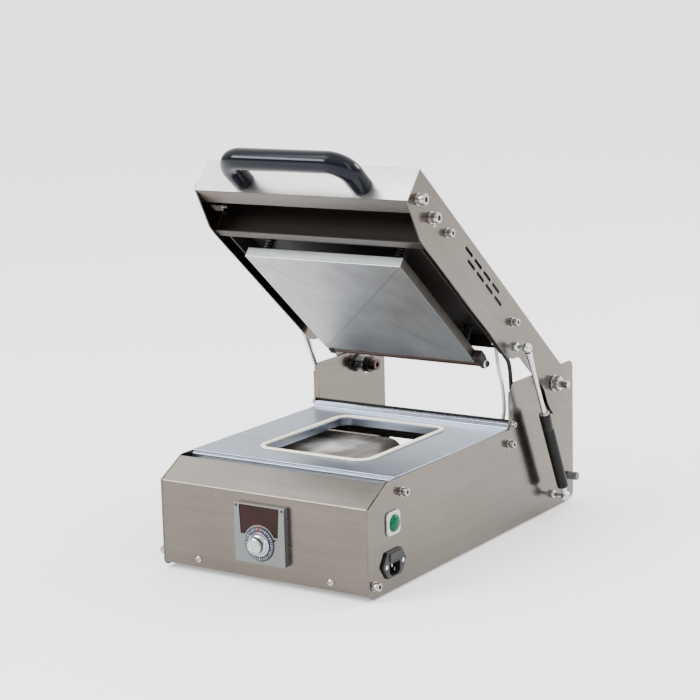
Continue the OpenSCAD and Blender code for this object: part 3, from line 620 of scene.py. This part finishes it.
def cap_screws(label, node, spots, wash, head_r, head_h, shank_r, shank):
    """Cap screws over a flat and a spring washer, and discs of painted shade at the floors of
    their sockets.
    """
    socket, top = head_r * 0.56, wash + head_h
    part = lathe("part", [
        (shank_r, -shank), (shank_r, 0), (head_r + 0.9e-3, 0), (head_r + 1e-3, 0.1e-3),
        (head_r + 1e-3, wash * 0.5 - 0.1e-3), (head_r + 0.9e-3, wash * 0.5),
        (head_r - 0.4e-3, wash * 0.5), (head_r - 0.3e-3, wash * 0.55),
        (head_r - 0.3e-3, wash * 0.95), (head_r - 0.4e-3, wash), (head_r - 0.1e-3, wash),
        (head_r, wash + 0.1e-3), (head_r, top - 0.6e-3), (head_r - 0.2e-3, top - 0.2e-3),
        (head_r - 0.6e-3, top), (socket + 0.3e-3, top), (socket, top - 0.3e-3, 6),
        (socket, top - head_h * 0.55, 6), (socket * 0.3, top - head_h * 0.6),
    ], bright.material, 36)
    stand_for(scattered(label.format("cap_screws"), part, spots, bright.material), node)
    # the disc of painted shade in each socket's floor
    part = lathe("part", [
        (socket * 0.2, top - 2.6e-3), (socket - 0.1e-3, top - 2.6e-3, 6),
        (socket - 0.1e-3, top - 1.6e-3, 6), (socket * 0.2, top - 1.5e-3),
    ], socket_shade.material, 36)
    beside(scattered(label.format("sockets"), part, spots, socket_shade.material), node)


plate_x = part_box("base_side_right")[1].x
lid_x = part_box("lid_side_right")[1].x
RIVET_ACROSS = 8e-3
fixings = list(zip(outward("lid_screws_small", lid_x), islands("lid_screws_small")))
screw_spots = [spot for spot, (lo, hi) in fixings if hi.y - lo.y > RIVET_ACROSS]
rivet_spots = [spot for spot, (lo, hi) in fixings if hi.y - lo.y <= RIVET_ACROSS]

# washers' height, head radius and height, shank radius and length
cap_screws("side_{}", "side_screws", outward("side_screws", plate_x),
           2.7e-3, 5e-3, 6e-3, 3e-3, 11e-3)
cap_screws("rail_{}", "rail_screws", outward("rail_screws", plate_x),
           1.6e-3, 3.5e-3, 4e-3, 2e-3, 12e-3)
cap_screws("lid_{}_m8", "lid_screws_large", outward("lid_screws_large", lid_x),
           4.1e-3, 6.5e-3, 8e-3, 4e-3, 14e-3)
cap_screws("lid_{}_m6", "lid_screws_small", screw_spots,
           2.8e-3, 5e-3, 6e-3, 3e-3, 12e-3)
part = lathe("part", [(1.6e-3, -5e-3), (1.6e-3, 0), (3e-3, 0), (2.7e-3, 0.6e-3),
                      (1.8e-3, 1.1e-3), (0.6e-3, 1.3e-3)], bright.material, 24)
beside(scattered("lid_rivets", part, rivet_spots, bright.material), "lid_screws_small")

for node in ("side_nuts", "handle_screws", "lid_nuts", "heater_studs"):
    edged(node, bright.material, 0.0003)

# the front panel's screws have low domed heads with a small socket
FORWARD = Vector((0, -1, 0))
panel_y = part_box("front_panel")[0].y
spots = [(Vector(((lo.x + hi.x) / 2, panel_y, (lo.z + hi.z) / 2)), FORWARD)
         for lo, hi in islands("front_screws")]
part = lathe("part", [
    (2.5e-3, -8e-3), (2.5e-3, 0), (4.7e-3, 0), (4.65e-3, 0.5e-3), (4.1e-3, 1.4e-3),
    (3.1e-3, 2.2e-3), (1.9e-3, 2.7e-3), (1.6e-3, 2.6e-3, 6), (1.6e-3, 1.5e-3, 6),
    (0.4e-3, 1.4e-3),
], bright.material, 36)
stand_for(scattered("front_dome_screws", part, spots, bright.material), "front_screws")

# ---------------------------------------------------------------- thermostat
# Bought-in panel thermostat: silver plastic front, smoked window, slate dial
# ring with printed marks and a turned silver knob.
silver = Surface("bezel_silver", (0.14, 0.145, 0.147), 0.36, 0.8)
silver.bump(silver.noise(900.0, 2.0), 0.4)
edged("thermostat_bezel", silver.material, 0.0006, 3)
smoked = Surface("smoked_window", (0.05, 0.022, 0.014), 0.2, Specular_IOR_Level=0.12)
smoked.set("Base Color", smoked.mix(smoked.noise(60.0, 3.0),
                                    (0.006, 0.0015, 0.001), (0.024, 0.007, 0.004)))
edged("thermostat_window", smoked.material, 0.0002)

HEAD_INSET, HEAD_SUNK = 3.1e-3, 0.0004
bezel_low, bezel_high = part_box("thermostat_bezel")
skirt_low, skirt_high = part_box("dial_skirt")
dial_x, dial_z = (skirt_low.x + skirt_high.x) / 2, (skirt_low.z + skirt_high.z) / 2
spots = [(Vector((x, bezel_low.y + HEAD_SUNK, z)), FORWARD) for x, z in (
    (bezel_low.x + HEAD_INSET, bezel_high.z - HEAD_INSET),
    (bezel_high.x - HEAD_INSET, bezel_high.z - HEAD_INSET),
    (dial_x + 21.8e-3, dial_z + 7e-3),
)]
black_head = Surface("black_head", (0.004, 0.004, 0.005), 0.4, Specular_IOR_Level=0.3)
part = lathe("part", [(1.5e-3, 0), (1.7e-3, 0.2e-3), (1.5e-3, 0.7e-3), (0.6e-3, 0.9e-3)],
             black_head.material, 20)
beside(scattered("thermostat_heads", part, spots, black_head.material), "thermostat_bezel")
case = Surface("case_black", (0.03, 0.03, 0.032), 0.5)
edged("thermostat_case", case.material, 0.0008)
edged("thermostat_pins", case.material, 0.0002)

SWEEP_OF_SCALE, MARKS = math.radians(300), 30
MARK_OUT, MARK_IN, LONG_MARK_IN = 0.0196, 0.0172, 0.0163
dial = Surface("dial_marks", (0.05, 0.055, 0.08), 0.4, 0.0, Specular_IOR_Level=0.2)
here = dial.place(shift=(-dial_x, 0, -dial_z))
px = dial.node("ShaderNodeSeparateXYZ", None, here)
pz = Value(dial, px.socket.node.outputs[2])
angle = px.calc("ARCTAN2", px, pz)
radius = (px * px + pz * pz) ** 0.5
step = SWEEP_OF_SCALE / MARKS
inside = radius.below(MARK_OUT)
short = angle.calc("PINGPONG", angle, step / 2).below(0.018) * (radius.above(MARK_IN) * inside)
long = angle.calc("PINGPONG", angle, step * 1.5).below(0.03) * (
    radius.above(LONG_MARK_IN) * inside)
marks = short.calc("MAXIMUM", short, long)
red = angle.size().below(0.07) * radius.above(0.0165)
toned = dial.mix(marks, (0.03, 0.034, 0.05), (0.3, 0.31, 0.33))
dial.set("Base Color", dial.mix(red, toned, (0.2, 0.02, 0.015)))
edged("dial_skirt", dial.material, 0.0003)

turned = Surface("knob_turned", (0.36, 0.37, 0.39), 0.16, 1.0)
knob = lathe("dial_knob_turned", [
    (11e-3, 0), (14.6e-3, 0), (14.9e-3, 0.3e-3), (14.9e-3, 1.4e-3), (14.4e-3, 2.0e-3),
    (13.0e-3, 2.4e-3), (12.6e-3, 3.4e-3), (12.0e-3, 4.4e-3), (10.6e-3, 4.9e-3),
    (10.2e-3, 5.4e-3), (9.9e-3, 9.9e-3), (9.4e-3, 10.9e-3), (8.6e-3, 11.3e-3),
    (7.6e-3, 11.2e-3), (6.4e-3, 10.8e-3), (3e-3, 10.9e-3), (2.4e-3, 11.6e-3), (1e-3, 11.7e-3),
], turned.material, 64)
QUARTER = math.radians(90)
knob.data.transform(Matrix.Translation((dial_x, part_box("dial_knob")[1].y, dial_z))
                    @ Matrix.Rotation(QUARTER, 4, "X"))
stand_for(knob, "dial_knob")

# ---------------------------------------------- pilot lamp and mains inlet
# Green pilot lamp in a light-grey bezel over a fused appliance inlet, both
# pushed into cut-outs of the right side plate.
grey_plastic = Surface("lamp_grey", (0.4, 0.41, 0.42), 0.35, Specular_IOR_Level=0.3)
edged("pilot_body", grey_plastic.material, 0.0009, 4)
lens = Surface("lens_green", (0.0, 0.2, 0.09), 0.15, Specular_IOR_Level=0.12)
facets = lens.node("ShaderNodeTexVoronoi", None, Vector=lens.place(), Scale=330.0)
lens.bump(facets, 0.25, 0.0006)
lens.set("Base Color", lens.mix(facets * 3.0, (0.0, 0.2, 0.1), (0.0, 0.07, 0.03)))
lamp_low, lamp_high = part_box("pilot_lens")
rise, rim = lamp_high.x - lamp_low.x, (lamp_high.z - lamp_low.z) / 2
dome_rings = [(rim * math.cos(math.radians(d)), rise * math.sin(math.radians(d)))
              for d in range(0, 88, 8)]
glass = lathe("pilot_dome", dome_rings, lens.material, 48)
lamp_at = (lamp_low.x, (lamp_low.y + lamp_high.y) / 2, (lamp_low.z + lamp_high.z) / 2)
glass.data.transform(Matrix.Translation(lamp_at) @ Matrix.Rotation(QUARTER, 4, "Y"))
stand_for(glass, "pilot_lens")
inlet_black = Surface("inlet_black", (0.01, 0.01, 0.011), 0.42, Specular_IOR_Level=0.25)
inlet_black.bump(inlet_black.noise(1400.0), 0.12)
edged("inlet_body", inlet_black.material, 0.0005, 3)
drawer = Surface("drawer_black", (0.014, 0.014, 0.015), 0.5, Specular_IOR_Level=0.3)
drawer.bump(drawer.noise(1100.0), 0.3)
edged("fuse_drawer", drawer.material, 0.0005, 3)
edged("inlet_pins", chrome.material, 0.0003)
edged("inlet_screws", chrome.material, 0.0004, 3)

# -------------------------------------------------------------------- hinges
# M10 socket bolts through the upstands: nut and washer outside, nut, wide
# washer and nylon bush inside.
GAP, WASHER_TOP, NUT_TOP = 0.3e-3, 2.5e-3, 11e-3
NUT_FLAT, NUT_CORNER, BORE = 8.3e-3, 17e-3 / math.sqrt(3), 5.05e-3
outer = [(Vector((sign * lid_x, hinge.y, hinge.z)), Vector((sign, 0, 0))) for sign in (1, -1)]
part = lathe("part", [
    (BORE, GAP), (10.3e-3, GAP), (10.5e-3, GAP + 0.2e-3), (10.5e-3, WASHER_TOP - 0.2e-3),
    (10.3e-3, WASHER_TOP), (NUT_FLAT, WASHER_TOP), (NUT_FLAT, WASHER_TOP),
    (NUT_CORNER, WASHER_TOP + 0.9e-3, 6), (NUT_CORNER, NUT_TOP - 0.9e-3, 6),
    (NUT_FLAT, NUT_TOP), (5.1e-3, NUT_TOP),
], bright.material, 48)
beside(scattered("hinge_outer_nuts", part, outer, bright.material), "hinge_nuts")
inner_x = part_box("base_side_right")[0].x
inner = [(Vector((sign * inner_x, hinge.y, hinge.z)), Vector((-sign, 0, 0))) for sign in (1, -1)]
part = lathe("part", [
    (BORE, 0), (NUT_FLAT, 0), (NUT_CORNER, 0.8e-3, 6), (NUT_CORNER, 7.2e-3, 6),
    (NUT_FLAT, 8e-3), (12.8e-3, 8e-3), (13e-3, 8.2e-3), (13e-3, 9.8e-3),
    (12.8e-3, 10e-3), (BORE, 10e-3),
], bright.material, 48)
stand_for(scattered("hinge_inner_nuts", part, inner, chrome.material), "hinge_nuts")
bolts = edged("hinge_bolts", bright.material, 0.0005, 3)
browned = Surface("browned_steel", (0.05, 0.03, 0.022), 0.3, 0.9)
bolts.data.materials.append(browned.material)
for face in bolts.data.polygons:
    if abs(face.center.x) < inner_x - 0.012:
        face.material_index = 1
bush = Surface("bush_black", (0.008, 0.008, 0.009), 0.35, Specular_IOR_Level=0.2)
edged("hinge_bushes", bush.material, 0.0006, 3)

# ---------------------------------------------------------------- gas struts
# 15 mm black cylinders with 6 mm chromed rods and steel ball sockets on
# ball studs that screw into the base and the lid.
TUBE_START, TUBE_END = 17e-3, 137e-3
along = Vector(joint("strut_slide_right")["axis"])
stand = Matrix.Rotation(along.angle(Vector((0, 0, 1))), 4, "X")
strut_black = Surface("strut_black", (0.006, 0.006, 0.006), 0.4, Specular_IOR_Level=0.15)
strut_black.bump(strut_black.noise(1600.0), 0.08)
rod_steel = Surface("strut_rod", (0.5, 0.5, 0.51), 0.22, 1.0)
for side in ("right", "left"):
    ball = Vector(joint("strut_swing_" + side)["pos_m"])
    t0, t1 = TUBE_START, TUBE_END
    cad_rod, cylinder = "strut_rod_" + side, "strut_cylinder_" + side
    tube = lathe("strut_tube_" + side + "_turned", [
        (1e-3, 6.6e-3), (3.6e-3, 6.2e-3), (3.6e-3, t0 - 1.5e-3), (5.2e-3, t0 - 0.8e-3),
        (6.9e-3, t0), (7.5e-3, t0 + 0.9e-3), (7.5e-3, t1 - 26e-3), (7.28e-3, t1 - 25.6e-3),
        (7.28e-3, t1 - 24.4e-3), (7.5e-3, t1 - 24e-3), (7.5e-3, t1 - 1.2e-3),
        (7.1e-3, t1 - 0.4e-3), (6.4e-3, t1), (3.3e-3, t1), (3.2e-3, t1 - 2e-3),
    ], strut_black.material, 48)
    round_end = [(6.5e-3 * math.cos(math.radians(d)), 6.5e-3 * math.sin(math.radians(d)))
                 for d in range(-80, 60, 10)]
    socket = lathe("strut_socket_" + side, [
        (0.4e-3, -6.5e-3), *round_end, (3.62e-3, 5.6e-3), (3.62e-3, t0 - 1.6e-3),
    ], chrome.material, 40)
    cap = lathe("strut_cap_" + side, [
        (3.2e-3, t1 - 1e-3), (6.6e-3, t1 - 0.02e-3), (6.75e-3, t1 + 0.1e-3),
        (6.2e-3, t1 + 0.35e-3), (3.2e-3, t1 + 0.35e-3),
    ], rod_steel.material, 48)
    reach = [(v.co - ball).dot(along) for v in frame["nodes"][cad_rod].data.vertices]
    r0, r1 = min(reach), max(reach)
    rod = lathe("strut_rod_" + side + "_turned", [
        (5.7e-3, r0), (5.7e-3, r0 + 8e-3), (3e-3, r0 + 8e-3), (3e-3, r1 - 30e-3),
        (3.4e-3, r1 - 29.5e-3), (3.5e-3, r1 - 28e-3), (4.2e-3, r1 - 9e-3),
        (4.6e-3, r1 - 7e-3), (4.6e-3, r1 - 0.6e-3), (4.1e-3, r1),
    ], rod_steel.material, 40)
    for piece in (tube, socket, cap, rod):
        piece.data.transform(Matrix.Translation(ball) @ stand)
    stand_for(tube, "strut_tube_" + side)
    beside(socket, cad_rod, cylinder)
    beside(cap, cad_rod, cylinder)
    stand_for(rod, cad_rod)

STUD_FLAT, STUD_CORNER = 4.8e-3, 10e-3 / math.sqrt(3)
for node, reach, ball_size, root, plate in (
    ("lower_studs", 21e-3, 5e-3, plate_x, 10e-3),
    ("upper_studs", 18e-3, 6.5e-3, lid_x, 8e-3),
):
    start = math.asin(3e-3 / ball_size)
    turns = [start + (math.pi * 0.97 - start) * i / 16 for i in range(17)]
    part = lathe("part", [
        (3e-3, -plate), (3e-3, 0), (STUD_FLAT, 0), (STUD_CORNER, 0.5e-3, 6),
        (STUD_CORNER, 4.4e-3, 6), (STUD_FLAT, 5e-3), (3e-3, 5e-3),
        *((ball_size * math.sin(t), reach - ball_size * math.cos(t)) for t in turns),
    ], chrome.material, 40)
    stand_for(scattered(node + "_turned", part, outward(node, root), chrome.material), node)

# -------------------------------------------------------------------- handle
# Bow handle moulded in black gloss plastic, bolted on from inside the hood
# through two legs that stand on round feet.
HANDLE_R, HANDLE_BEND, LEG_INSET, BEND_STEPS = 13.5e-3, 24e-3, 3.5e-3, 18
low, high = lid_box("handle")
leg_x = high.x - HANDLE_R
bar_u, foot_u, mid_v = high.y - HANDLE_R, low.y, (low.z + high.z) / 2
gloss = Surface("handle_black", (0.002, 0.002, 0.004), 0.1, Specular_IOR_Level=0.2,
                Specular_Tint=(0.85, 0.9, 1.0, 1.0))
gloss.set("Roughness", gloss.noise(500.0, 2.0) * 0.06 + 0.1)


def sweep_tree():
    """A round section along the mesh's edges, with its ends closed."""
    tree, add = node_tree("Round along path", Radius="Float", Sides="Int", Material="Material")
    start, end = add("NodeGroupInput"), add("NodeGroupOutput")
    path, ring = add("GeometryNodeMeshToCurve"), add("GeometryNodeCurvePrimitiveCircle")
    body, fill = add("GeometryNodeCurveToMesh"), add("GeometryNodeSetMaterial")
    real, link = add("GeometryNodeRealizeInstances"), tree.links.new
    body.inputs["Fill Caps"].default_value = True
    link(start.outputs["Geometry"], path.inputs["Mesh"])
    link(start.outputs["Sides"], ring.inputs["Resolution"])
    link(start.outputs["Radius"], ring.inputs["Radius"])
    link(path.outputs["Curve"], body.inputs["Curve"])
    link(ring.outputs["Curve"], body.inputs["Profile Curve"])
    link(body.outputs["Mesh"], real.inputs["Geometry"])
    link(real.outputs["Geometry"], fill.inputs["Geometry"])
    link(start.outputs["Material"], fill.inputs["Material"])
    link(fill.outputs["Geometry"], end.inputs["Geometry"])
    return tree


SWEEP = sweep_tree()


def swept(name, paths, radius, sides, material):
    """Tubes along lists of points, as one mesh."""
    points, edges = [], []
    for path in paths:
        first = len(points)
        points += [tuple(p) for p in path]
        edges += [(first + i, first + i + 1) for i in range(len(path) - 1)]
    mesh = bpy.data.meshes.new(name)
    mesh.from_pydata(points, edges, [])
    obj = grown(name, mesh, SWEEP, material, Radius=radius, Sides=sides)
    b = bmesh.new()
    b.from_mesh(obj.data)
    bmesh.ops.remove_doubles(b, verts=b.verts, dist=WELD)
    bmesh.ops.recalc_face_normals(b, faces=b.faces)
    b.to_mesh(obj.data)
    b.free()
    return finish_mesh(obj, 40)


bow = [(-leg_x, foot_u + LEG_INSET)]
for centre, start in ((-leg_x + HANDLE_BEND, 180), (leg_x - HANDLE_BEND, 90)):
    for i in range(BEND_STEPS + 1):
        t = math.radians(start - 90 * i / BEND_STEPS)
        bow.append((centre + HANDLE_BEND * math.cos(t),
                    bar_u - HANDLE_BEND + HANDLE_BEND * math.sin(t)))
bow.append((leg_x, foot_u + LEG_INSET))
bow_points = [lid_point(x, u, mid_v) for x, u in bow]
stand_for(swept("handle_bow", [bow_points], HANDLE_R, 64, gloss.material), "handle")
for label, x in (("left", -leg_x), ("right", leg_x)):
    collar = lathe("handle_foot_" + label, [
        (4.1e-3, 0), (13.2e-3, 0), (13.5e-3, 0.3e-3), (13.5e-3, 2.6e-3), (13.1e-3, 3e-3),
        (12.6e-3, 3.1e-3), (12.6e-3, 3.6e-3), (4.1e-3, 3.6e-3),
    ], gloss.material, 64)
    collar.data.transform(Matrix.Translation(lid_point(x, foot_u, mid_v))
                          @ Matrix.Rotation(QUARTER - lid_open, 4, "X"))
    beside(collar, "handle")

# -------------------------------------------------------------- heating plate
# Machined aluminium plate on four sprung studs, with a cover over its
# elements and a brown steel rod behind it.
machined = Surface("heater_machined", (0.44, 0.44, 0.445), 0.45, 1.0)
low, high = lid_box("heating_plate")
wide, deep = high.x - low.x, high.y - low.y
centre = lid_point(0, (low.y + high.y) / 2, low.z)
centre_y = centre.y * math.cos(lid_open) - centre.z * math.sin(lid_open)
across = machined.node("ShaderNodeSeparateXYZ", None, machined.place((2 / wide,) * 3))
over_depth = machined.place((2 / deep,) * 3, lid_open, (0, -2 * centre_y / deep, 0))
along_it = machined.node("ShaderNodeSeparateXYZ", None, over_depth, out=1)
corner_line = across.size() - along_it.size()
lay_one = machined.noise(1.0, 3.0, (14, 900, 900), lid_open)
lay_two = machined.noise(1.0, 3.0, (900, 14, 900), lid_open)
lay = lay_one + (lay_two - lay_one) * corner_line.above(0.0)
specks = machined.noise(700.0, 2.0).above(0.47) * corner_line.size().below(0.018)
patch = machined.noise(30.0, 4.0)
toned = machined.mix((patch - 0.5) * 1.2 + (lay - 0.5) * 0.7 + 0.5,
                     (0.24, 0.24, 0.242), (0.42, 0.425, 0.435))
machined.set("Base Color", machined.mix(specks * 0.5, toned, (0.13, 0.13, 0.13)))
machined.set("Roughness", (lay - 0.5) * 0.14 + (patch - 0.5) * 0.1 + 0.42)
machined.bump(lay, 0.12, 0.0002)
plate = edged("heating_plate", machined.material, 0.0004, 2)
# painted light: the plate's front edge face gets a much lighter, bluish-white copy of the
# aluminium, standing for the light it catches
plate.data.materials.append(
    brushed("heater_sawn", (0.72, 0.78, 0.85), 0.3, (700, 700, 60), cloud=0.1))
# painted shade: the plate's two side faces get a darker copy of the aluminium, standing for the
# shade they lie in under the lid
plate.data.materials.append(
    brushed("heater_worn", (0.2, 0.185, 0.17), 0.4, (700, 700, 60), cloud=0.1))
# front edge faces take the painted light, side faces the painted shade
for face in plate.data.polygons:
    if face.normal.dot(LID_FORWARD) > 0.9:
        face.material_index = 1
    elif abs(face.normal.x) > 0.9:
        face.material_index = 2
edged("heater_cover", steel_mill, 0.0006)
rod_brown = Surface("rod_brown", (0.045, 0.03, 0.024), 0.35, 0.8)
edged("rear_rod", rod_brown.material, 0.0003)
edged("rod_arms", frame_black.material, 0.0005)
white = Surface("collar_white", (0.82, 0.8, 0.74), 0.45)
edged("rod_collars", white.material, 0.0003)

SPRING_R, WIRE_R, COILS, PER_COIL, SLACK = 6.2e-3, 0.9e-3, 7, 20, 0.03
spring_foot, spring_head = (corner.z for corner in lid_box("heater_springs"))
coil_low, coil_high = spring_foot + WIRE_R, spring_head - WIRE_R
paths = []
for lo, hi in islands("heater_springs"):
    seat = on_lid((lo + hi) / 2)
    turns = []
    for i in range(COILS * PER_COIL + 1):
        t = 2 * math.pi * i / PER_COIL
        turns.append(lid_point(seat.x + SPRING_R * math.cos(t), seat.y + SPRING_R * math.sin(t),
                               coil_low + (coil_high - coil_low) * i / (COILS * PER_COIL)))
    paths.append(turns)
spring_steel = Surface("spring_steel", (0.05, 0.045, 0.045), 0.35, 0.9)
springs = swept("heater_coil_springs", paths, WIRE_R, 8, spring_steel.material)
stand_for(springs, "heater_springs")
float_ratio = next(c["ratio"] for c in frame["record"]["behaviour"]["couplings"]
                   if c["joint"] == "heater_float")
tall = spring_head - spring_foot
lid_point(0, 0.25, spring_head)
(tall - float_ratio * lid_open) / tall - SLACK
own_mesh(springs)

# --------------------------------------------------------------------- leads
# Black rubber supply lead from the press frame and a translucent grey rubber
# sleeve with the sensor, both let into the rear deck through grommets.
LEAD_STEPS = 8


def lead(name, node, points, radius, sides, material):
    """A lead on a smooth curve through the points, in place of a CAD node."""
    points = [Vector(p) for p in points]
    dense = []
    for i in range(len(points) - 1):
        a, p, q, c = (points[max(i - 1, 0)], points[i], points[i + 1],
                      points[min(i + 2, len(points) - 1)])
        for k in range(LEAD_STEPS):
            t = k / LEAD_STEPS
            dense.append(0.5 * (2 * p + (q - a) * t + (2 * a - 5 * p + 4 * q - c) * t * t
                                + (3 * p - a - 3 * q + c) * t ** 3))
    dense.append(points[-1])
    obj = swept(name, [dense], radius, sides, material)
    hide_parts(node)
    return obj


def from_frame(x, side_step, drop, fall):
    """The first points of a lead, in the hole of the press frame's rear wall."""
    return [lid_point(x, frame_back + 0.014, cable_v), lid_point(x, frame_back + 0.004, cable_v),
            lid_point(x, frame_back - 0.004, cable_v - drop),
            lid_point(x + side_step, frame_back - 0.012, cable_v - fall)]


def through(at):
    """The points of a lead where it passes its grommet."""
    return [(at.x, at.y - 0.001, at.z + 0.028), (at.x, at.y, at.z + 0.009),
            (at.x, at.y, at.z - 0.007), (at.x, at.y, at.z - 0.02)]


def bending(piece, x, at):
    """Bakes the lead's placement into its mesh."""
    lid_point(x, frame_back - 0.006, cable_v - 0.002)
    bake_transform(piece)


grommets = sorted(islands("cable_grommets"), key=lambda pair: -pair[0].x)
black_at, grey_at = ((lo + hi) / 2 for lo, hi in grommets)
frame_back = lid_box("press_frame")[0].y
black_x, cable_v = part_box("press_frame")[1].x - 0.018, -0.015
cable_black = Surface("cable_black", (0.007, 0.007, 0.008), 0.45, Specular_IOR_Level=0.25)
black = lead("supply_lead", "lid_cable", from_frame(black_x, 0.001, 0.0002, 0.007) + [
    (black_at.x - 0.0005, black_at.y - 0.013, 0.216), (black_at.x, black_at.y - 0.009, 0.193),
    (black_at.x, black_at.y - 0.007, 0.163), *through(black_at),
    (black_at.x - 0.014, black_at.y - 0.022, 0.048), (0.092, 0.0655, 0.027),
    (0.076, 0.0395, 0.021), (0.072, 0.02, 0.02),
], 2.7e-3, 20, cable_black.material)
bending(black, black_x, black_at)
grey_x = black_x - 0.0088
sleeve_grey = Surface("sleeve_grey", (0.6, 0.61, 0.6), 0.3, Coat_Weight=0.3)
grey = lead("sensor_sleeve", "sensor_tube", from_frame(grey_x, 0.0005, 0.0003, 0.008) + [
    (grey_at.x + 0.007, grey_at.y - 0.022, 0.208), (grey_at.x + 0.009, grey_at.y - 0.016, 0.183),
    (grey_at.x + 0.006, grey_at.y - 0.007, 0.153), *through(grey_at),
    (0.112, 0.0835, 0.048), (0.1, 0.0035, 0.033), (0.088, -0.0865, 0.027),
    (0.06, -0.1505, 0.039), (0.026, -0.1705, 0.053), (0.02, -0.1845, 0.055), (0.02, -0.2, 0.055),
], 2.4e-3, 16, sleeve_grey.material)
bending(grey, grey_x, grey_at)

# -------------------------------------------------------------------- studio
# Pale floor that fades into a pale room, brighter overhead and behind, with
# four large soft lights and the camera in front, to the object's right.
FLOOR = 60
floor_mesh = bpy.data.meshes.new("floor")
floor_mesh.from_pydata([(-FLOOR, -FLOOR, 0), (FLOOR, -FLOOR, 0), (FLOOR, FLOOR, 0),
                        (-FLOOR, FLOOR, 0)], [], [(0, 1, 2, 3)])
pale = Surface("floor_pale", (0.93, 0.93, 0.93), 0.7)
pale.set("Emission Color", (1.0, 1.0, 1.0, 1.0)).set("Emission Strength", 0.35)
new_object("floor", floor_mesh, pale.material)

world = bpy.data.worlds.new("studio")
bpy.context.scene.world = world
world.use_nodes = True
sky = world.node_tree
sky.nodes["Background"].inputs["Color"].default_value = (1, 1, 1, 1)


def sky_node(kind, *inputs, out=0, **settings):
    """A node of the world's tree, like Surface.node for a material's."""
    made = sky.nodes.new(kind)
    for key, value in settings.items():
        setattr(made, key, value)
    for i, value in enumerate(inputs):
        if isinstance(value, bpy.types.NodeSocket):
            sky.links.new(value, made.inputs[i])
        else:
            made.inputs[i].default_value = value
    return made.outputs[out]


way = sky_node("ShaderNodeSeparateXYZ", sky_node("ShaderNodeTexCoord")).node.outputs
behind = sky_node("ShaderNodeMapRange", way[1], 0.2, 1.0, 0.0, 0.9)
overhead = sky_node("ShaderNodeMapRange", way[2], 0.0, 0.7, 0.45, 2.4)
strength = sky_node("ShaderNodeMath", behind, overhead, operation="ADD")
sky.links.new(strength, sky.nodes["Background"].inputs["Strength"])


def softbox(name, place, width, height, power, aim=(0, 0, 0.2)):
    light = bpy.data.lights.new(name, "AREA")
    light.shape, light.size, light.size_y, light.energy = "RECTANGLE", width, height, power
    obj = bpy.data.objects.new(name, light)
    bpy.context.scene.collection.objects.link(obj)
    obj.location = place
    obj.rotation_euler = (Vector(aim) - Vector(place)).to_track_quat("-Z", "Y").to_euler()


softbox("key", (-1.0, -1.6, 2.6), 1.4, 1.4, 30)
softbox("front", (-1.7, -2.6, 1.7), 1.8, 0.9, 110)
softbox("rim", (1.8, 2.7, 1.9), 1.6, 0.9, 70)
softbox("fill", (2.2, -0.6, 1.2), 0.7, 1.6, 14)

AZIMUTH, RISE, ROLL = math.radians(33.74), math.radians(11.0), math.radians(-1.56)
AIM, DISTANCE, SIDEWAYS, UPWARDS = Vector((0, -0.0165, 0.153)), 2.54847, -0.0383, 0.09165
SENSOR, WIDTHS_AWAY = 36.0, 2009 / 700
back = Vector((math.sin(AZIMUTH) * math.cos(RISE), -math.cos(AZIMUTH) * math.cos(RISE),
               math.sin(RISE)))
right = Vector((0, 0, 1)).cross(back).normalized()
over = back.cross(right)
side = right * math.cos(ROLL) + over * math.sin(ROLL)
top = over * math.cos(ROLL) - right * math.sin(ROLL)
eye = AIM + side * SIDEWAYS + top * UPWARDS + back * DISTANCE
camera_data = bpy.data.cameras.new("camera")
camera_data.sensor_width, camera_data.lens = SENSOR, SENSOR * WIDTHS_AWAY
camera_data.shift_x, camera_data.shift_y = 0.022, -0.0026
camera_data.clip_start, camera_data.clip_end = 0.05, 50
camera = bpy.data.objects.new("camera", camera_data)
bpy.context.scene.collection.objects.link(camera)
camera.matrix_world = Matrix(((side.x, top.x, back.x, eye.x), (side.y, top.y, back.y, eye.y),
                              (side.z, top.z, back.z, eye.z), (0, 0, 0, 1)))
bpy.context.scene.camera = camera
